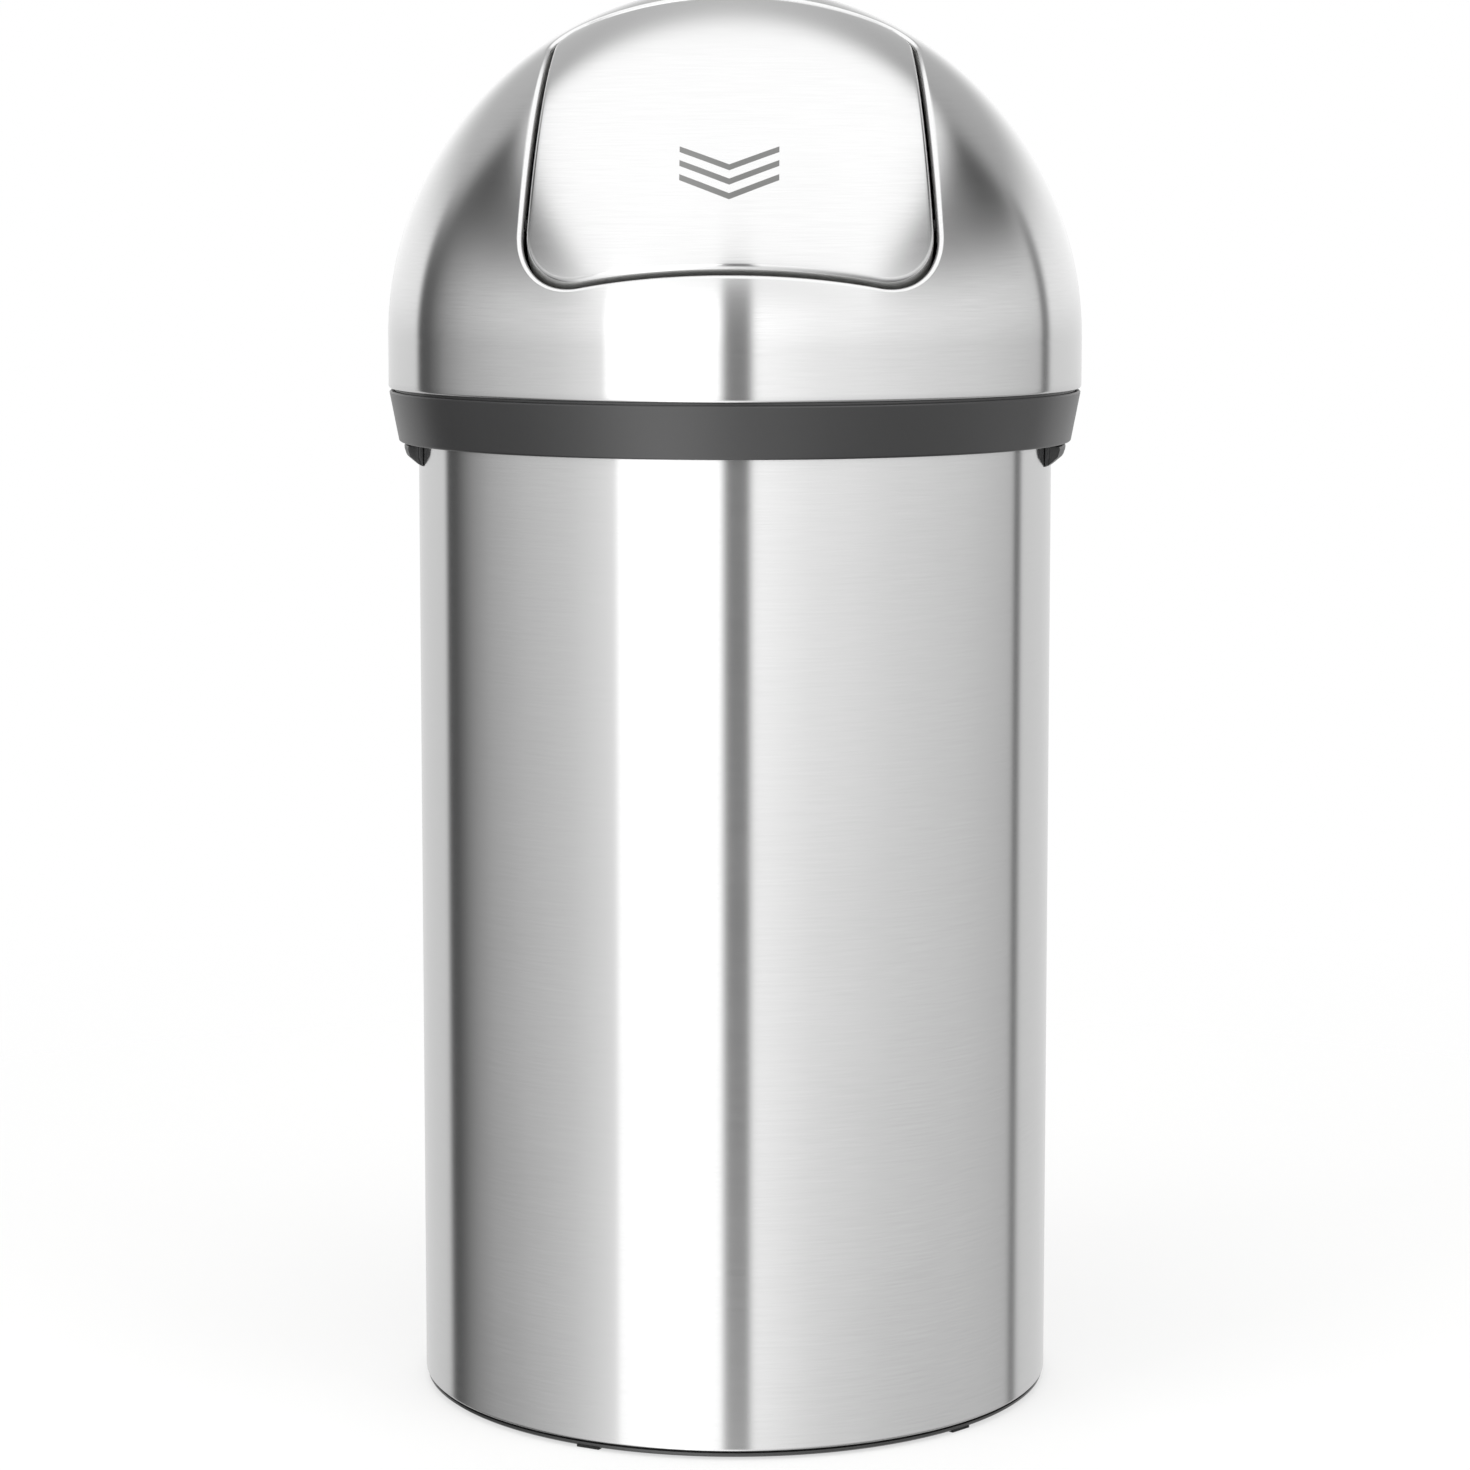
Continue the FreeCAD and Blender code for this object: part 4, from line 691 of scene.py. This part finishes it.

# Torsion springs: a wire carried along a helix about the hinge with a straight leg at each end,
# (-r cos a, -r sin a, pitch * a / turn). On the real hinge the outer leg stays with the frame and the inner
# one turns with the flap; here both legs are drawn at rest and the wire is attached to no body.
spring = {"radius": 4.5, "wire": 0.6, "pitch": 1.4, "turns": 4, "leg": 11.0, "sides": 12,
          "stepsPerTurn": 36, "legSteps": 4}
hingeSpot = next(np.array(joint["pos_m"]) * 1000 for joint in frame["record"]["behaviour"]["joints"]
                 if joint["name"] == "flap_push")
springLow, springHigh = nodeBox("spring_right")
springMiddle = (springLow[0] + springHigh[0]) / 2
springHalf = spring["pitch"] * spring["turns"] / 2


def springGrid(side):
    rise = spring["pitch"] / (2 * np.pi)
    perRadian = math.hypot(spring["radius"], rise)
    coil = 2 * np.pi * spring["turns"] * perRadian
    wire = np.linspace(0, coil, spring["stepsPerTurn"] * spring["turns"] + 1)
    length = np.concatenate([np.linspace(-spring["leg"], 0, spring["legSteps"])[:-1], wire,
                             np.linspace(coil, coil + spring["leg"], spring["legSteps"])[1:]])
    wound = np.clip(length, 0, coil)
    angle = wound / perRadian
    outward = np.stack([-np.cos(angle), -np.sin(angle), 0 * angle], axis=1)
    around = spring["radius"] * np.stack([np.sin(angle), -np.cos(angle), 0 * angle], axis=1)
    heading = (around + [0, 0, rise]) / perRadian
    path = outward * spring["radius"] + heading * (length - wound)[:, None]
    path[:, 2] += rise * angle - springHalf
    across = np.cross(heading, outward)
    turn = np.linspace(0, 2 * np.pi, spring["sides"], endpoint=False)[:, None]
    ring = np.cos(turn) * outward[:, None] + np.sin(turn) * across[:, None]
    skin = path[:, None] + spring["wire"] * ring
    ends = [np.broadcast_to(path[k], (1, spring["sides"], 3)) for k in (0, -1)]
    skin = np.concatenate([ends[0], skin, ends[1]])
    grid = hingeSpot + skin[..., :1] * upAxis + skin[..., 1:2] * outAxis
    grid = grid + (springMiddle + skin[..., 2:]) * side * acrossAxis
    rows = np.arange(len(skin))[:, None]
    uv = np.stack(np.broadcast_arrays(np.arange(spring["sides"] + 1.0), rows), axis=2)
    return grid, uv


for name, side in (("Left", -1), ("Right", 1)):
    piece = addPiece("spring" + name, *springGrid(side), finish["wire"], None, "spring_steel",
                     ["spring_" + name.lower()], capped=True)
    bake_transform(piece)
print("springs done")

# The remaining solids keep their shape and get a finish of their own
fitted = {
    "floor_pan": "galvanised", "grip_backing_left": "galvanised", "grip_backing_right": "galvanised",
    # the opening frame takes the light grey finish that paints light into the gap round the flap
    "base_feet": "rubber", "flap_buffers": "rubber", "opening_frame": "frame", "flap_carrier": "inner",
    "grip_screws": "zinc", "flap_studs": "zinc", "flap_nuts": "zinc", "pin_clips": "zinc",
    "hinge_pin_left": "ground", "hinge_pin_right": "ground",
    "hinge_bush_left": "acetal", "hinge_bush_right": "acetal",
}
for name, key in fitted.items():
    for materialSlot in nodes[name].material_slots:
        materialSlot.material = finish[key]
print("fitted solids:", len(fitted))

# Studio: azimuth is measured from the front, to the right, in degrees; brightness 1 is paper white.
studio = {
    "wall": [(-180, 0.74), (-128.7, 0.74), (-125.8, 0.07), (-119, 0.1), (-108, 0.32), (-97, 0.48),
             (-80, 0.62), (-60, 0.73), (-46, 0.87), (-42.2, 0.92), (-41.6, 1.5), (-4.2, 1.5), (-2.3, 0.18),
             (5.4, 0.18), (7.4, 1.2), (28, 1.02), (60, 0.87), (90, 0.75), (118.5, 0.6), (120.8, 0.55),
             (122.5, 0.17), (125.6, 0.17), (128.3, 0.74), (180, 0.74)],
    "foot": (-4, 3.5),         # elevation over which the walls grow brighter
    "gain": (1.04, 1.48),      # at their foot and above it
    "fade": (8, 25),           # elevation over which the walls give way to what is above them
    "above": [(-180, 0.62), (-127, 0.6), (-118, 0.1), (-108, 0.11), (-92, 0.17), (-60, 0.26), (60, 0.29),
              (92, 0.23), (112, 0.09), (119, 0.09), (128, 0.5), (180, 0.62)],
    "sink": (-25, -18.5),      # and to the floor in front, below them
    "below": [(-180, 0.6), (-132, 0.5), (-108, 0.12), (-87, 0.15), (-54, 0.88), (-25, 2.0), (0, 1.25),
              (36, 0.48), (58, 0.3), (85, 0.28), (114, 0.48), (140, 0.6), (180, 0.6)],
    "overhead": 1.5,
    "sheetBack": (0.95, 0.55),  # edges of the overhead sheet, as lengths at height 1: outer end, inner end
    "sheetSide": (1.55, 1.12),
    "sheetFront": (3.0, 2.2),
    "sheetSlant": 0.5,         # its sides draw in towards the back
    "leastHeight": 0.02,       # of a direction, so that nothing is divided by zero
    "ambient": 0.55,
}


# Brightness by azimuth, from a list of (degrees, grey)
def azimuthRamp(tree, turn, greys):
    ramp = addNode(tree, "ValToRGB", None, {0: turn.outputs[0]})
    stops = ramp.color_ramp.elements
    stops.remove(stops[1])
    for number, (degrees, grey) in enumerate(greys):
        stop = stops[0] if number == 0 else stops.new((degrees + 180) / 360)
        stop.position = (degrees + 180) / 360
        stop.color = (grey, grey, grey, 1)
    return ramp.outputs[0]


# From one end value to the other while a direction's height goes from one elevation to the next
def elevationStep(tree, part, angles, ends=(0.0, 1.0)):
    low, high = (math.sin(math.radians(angle)) for angle in angles)
    return addNode(tree, "MapRange", {"interpolation_type": "SMOOTHSTEP"},
                   {0: part.outputs[2], 1: low, 2: high, 3: ends[0], 4: ends[1]}).outputs[0]


# A level four-sided sheet above the bin: 1 where |x / z| + slant * y / z, y / z and -y / z are inside
# its edges.
def overheadSheet(tree, part):
    height = addNode(tree, "Math", {"operation": "MAXIMUM"},
                     {0: part.outputs[2], 1: studio["leastHeight"]})
    sideways, back = (
        addNode(tree, "Math", {"operation": "DIVIDE"},
                {0: part.outputs[axis], 1: height.outputs[0]}).outputs[0]
        for axis in (0, 1)
    )
    wide = addNode(tree, "Math", {"operation": "ABSOLUTE"}, {0: sideways})
    slanted = addNode(tree, "Math", {"operation": "MULTIPLY_ADD"},
                      {0: back, 1: studio["sheetSlant"], 2: wide.outputs[0]})
    front = addNode(tree, "Math", {"operation": "MULTIPLY"}, {0: back, 1: -1.0})
    inside = addNode(tree, "Math", {"operation": "GREATER_THAN"}, {0: part.outputs[2], 1: 0.0}).outputs[0]
    edges = ((slanted.outputs[0], "sheetSide"), (back, "sheetBack"), (front.outputs[0], "sheetFront"))
    for length, edge in edges:
        outer, inner = studio[edge]
        share = addNode(tree, "MapRange", {"interpolation_type": "SMOOTHSTEP"},
                        {0: length, 1: inner, 2: outer, 3: 1.0, 4: 0.0})
        inside = addNode(tree, "Math", {"operation": "MULTIPLY"}, {0: inside, 1: share.outputs[0]}).outputs[0]
    return inside


def addWorld():
    world = bpy.data.worlds.new("studio")
    bpy.context.scene.world = world
    world.use_nodes = True
    tree = world.node_tree
    tree.nodes.clear()
    ray = addNode(tree, "LightPath")
    heading = addNode(tree, "TexCoord").outputs["Generated"]
    part = addNode(tree, "SeparateXYZ", None, {0: heading})
    front = addNode(tree, "Math", {"operation": "MULTIPLY"}, {0: part.outputs[1], 1: -1.0})
    azimuth = addNode(tree, "Math", {"operation": "ARCTAN2"}, {0: part.outputs[0], 1: front.outputs[0]})
    turn = addNode(tree, "MapRange", None, {0: azimuth.outputs[0], 1: -math.pi, 2: math.pi, 3: 0.0, 4: 1.0})
    wall, above, below = (azimuthRamp(tree, turn, studio[key]) for key in ("wall", "above", "below"))
    gain = elevationStep(tree, part, studio["foot"], studio["gain"])
    wall = addNode(tree, "VectorMath", {"operation": "SCALE"}, {0: wall, "Scale": gain})
    lower = addNode(tree, "Mix", {"data_type": "RGBA"},
                    {0: elevationStep(tree, part, studio["sink"]), 6: below, 7: wall.outputs[0]})
    walls = addNode(tree, "Mix", {"data_type": "RGBA"},
                    {0: elevationStep(tree, part, studio["fade"]), 6: lower.outputs[2], 7: above})
    top = studio["overhead"]
    room = addNode(tree, "Mix", {"data_type": "RGBA"},
                   {0: overheadSheet(tree, part), 6: walls.outputs[2], 7: (top, top, top, 1)})
    soft = studio["ambient"]
    seen = addNode(tree, "Mix", {"data_type": "RGBA"},
                   {0: ray.outputs["Is Glossy Ray"], 6: (soft, soft, soft, 1), 7: room.outputs[2]})
    direct = addNode(tree, "Math", {"operation": "MAXIMUM"},
                     {0: ray.outputs["Is Camera Ray"], 1: ray.outputs["Is Transmission Ray"]})
    final = addNode(tree, "Mix", {"data_type": "RGBA"},
                    {0: direct.outputs[0], 6: seen.outputs[2], 7: (1, 1, 1, 1)})
    light = addNode(tree, "Background", None, {"Color": final.outputs[2], "Strength": 1.0})
    addNode(tree, "OutputWorld", None, {"Surface": light.outputs[0]})


addWorld()

# Pale floor: a disc that fades into the white background and keeps the soft shadow near the bin
floor = {"radius": 3000.0, "sides": 96, "clear": (450.0, 1500.0), "colour": "#f4f4f3", "glow": 0.62}


def addFloor():
    angle = np.linspace(0, 2 * np.pi, floor["sides"], endpoint=False)
    ring = np.stack([np.cos(angle), np.sin(angle), 0 * angle], axis=1) * floor["radius"] / 1000
    mesh = bpy.data.meshes.new("floor")
    mesh.from_pydata(ring.tolist(), [], [list(range(floor["sides"]))])
    material, tree = newTree("floor, pale paper sweep")
    place = addNode(tree, "TexCoord")
    away = addNode(tree, "VectorMath", {"operation": "LENGTH"}, {0: place.outputs["Object"]})
    near, far = (reach / 1000 for reach in floor["clear"])
    fade = addNode(tree, "MapRange", {"interpolation_type": "SMOOTHSTEP"},
                   {0: away.outputs["Value"], 1: near, 2: far, 3: 0.0, 4: 1.0})
    paper = addNode(tree, "BsdfDiffuse", None, {"Color": linear(floor["colour"])})
    glow = addNode(tree, "Emission", None, {"Color": (1, 1, 1, 1), "Strength": 1.0})
    ray = addNode(tree, "LightPath")
    share = addNode(tree, "Math", {"operation": "MULTIPLY"},
                    {0: ray.outputs["Is Camera Ray"], 1: floor["glow"]})
    sheet = addNode(tree, "MixShader", None, {0: share.outputs[0], 1: paper.outputs[0], 2: glow.outputs[0]})
    clear = addNode(tree, "BsdfTransparent")
    whole = addNode(tree, "MixShader", None, {0: fade.outputs[0], 1: sheet.outputs[0], 2: clear.outputs[0]})
    closeTree(tree, whole)
    mesh.materials.append(material)
    disc = bpy.data.objects.new("floor", mesh)
    bpy.context.scene.collection.objects.link(disc)
    disc.visible_glossy = False


addFloor()

# Soft boxes for the dull surfaces and the shadow; the steel shows the studio round it instead
aim = (0, 0, 400)
lamps = {
    "overhead": {"spot": (0, -500, 2600), "size": 1600, "watts": 26},
    "left": {"spot": (-1900, -1500, 1300), "size": 1500, "watts": 22},
    "right": {"spot": (1900, -1300, 1200), "size": 1500, "watts": 16},
    "back": {"spot": (0, 2300, 1700), "size": 1800, "watts": 16},
}
for name, lamp in lamps.items():
    light = bpy.data.lights.new(name, "AREA")
    light.size = lamp["size"] / 1000
    light.energy = lamp["watts"]
    box = bpy.data.objects.new(name, light)
    box.location = Vector(lamp["spot"]) / 1000
    box.rotation_euler = (Vector(aim) / 1000 - box.location).to_track_quat("-Z", "Y").to_euler()
    box.visible_glossy = False
    box.visible_camera = False
    bpy.context.scene.collection.objects.link(box)

# Camera: level with the dome's lower half and tipped down to the middle of the bin
view = {"azimuth": 1.0, "distance": 2176.7, "height": 644.7, "pitch": 6.23, "focal": 4004.0, "shift": -0.065,
        "picture": 1470, "sensor": 36}  # the focal length is in pixels of a picture this wide
turn = math.radians(view["azimuth"])
camera = bpy.data.objects.new("camera", bpy.data.cameras.new("camera"))
camera.data.sensor_width = view["sensor"]
camera.data.lens = view["sensor"] * view["focal"] / view["picture"]
camera.data.shift_y = view["shift"]
camera.location = Vector((math.sin(turn), -math.cos(turn), 0)) * view["distance"] / 1000
camera.location.z = view["height"] / 1000
target = Vector((0, 0, camera.location.z - view["distance"] / 1000 * math.tan(math.radians(view["pitch"]))))
camera.rotation_euler = (target - camera.location).to_track_quat("-Z", "Y").to_euler()
bpy.context.scene.collection.objects.link(camera)
bpy.context.scene.camera = camera
bpy.context.scene.view_settings.view_transform = "Standard"
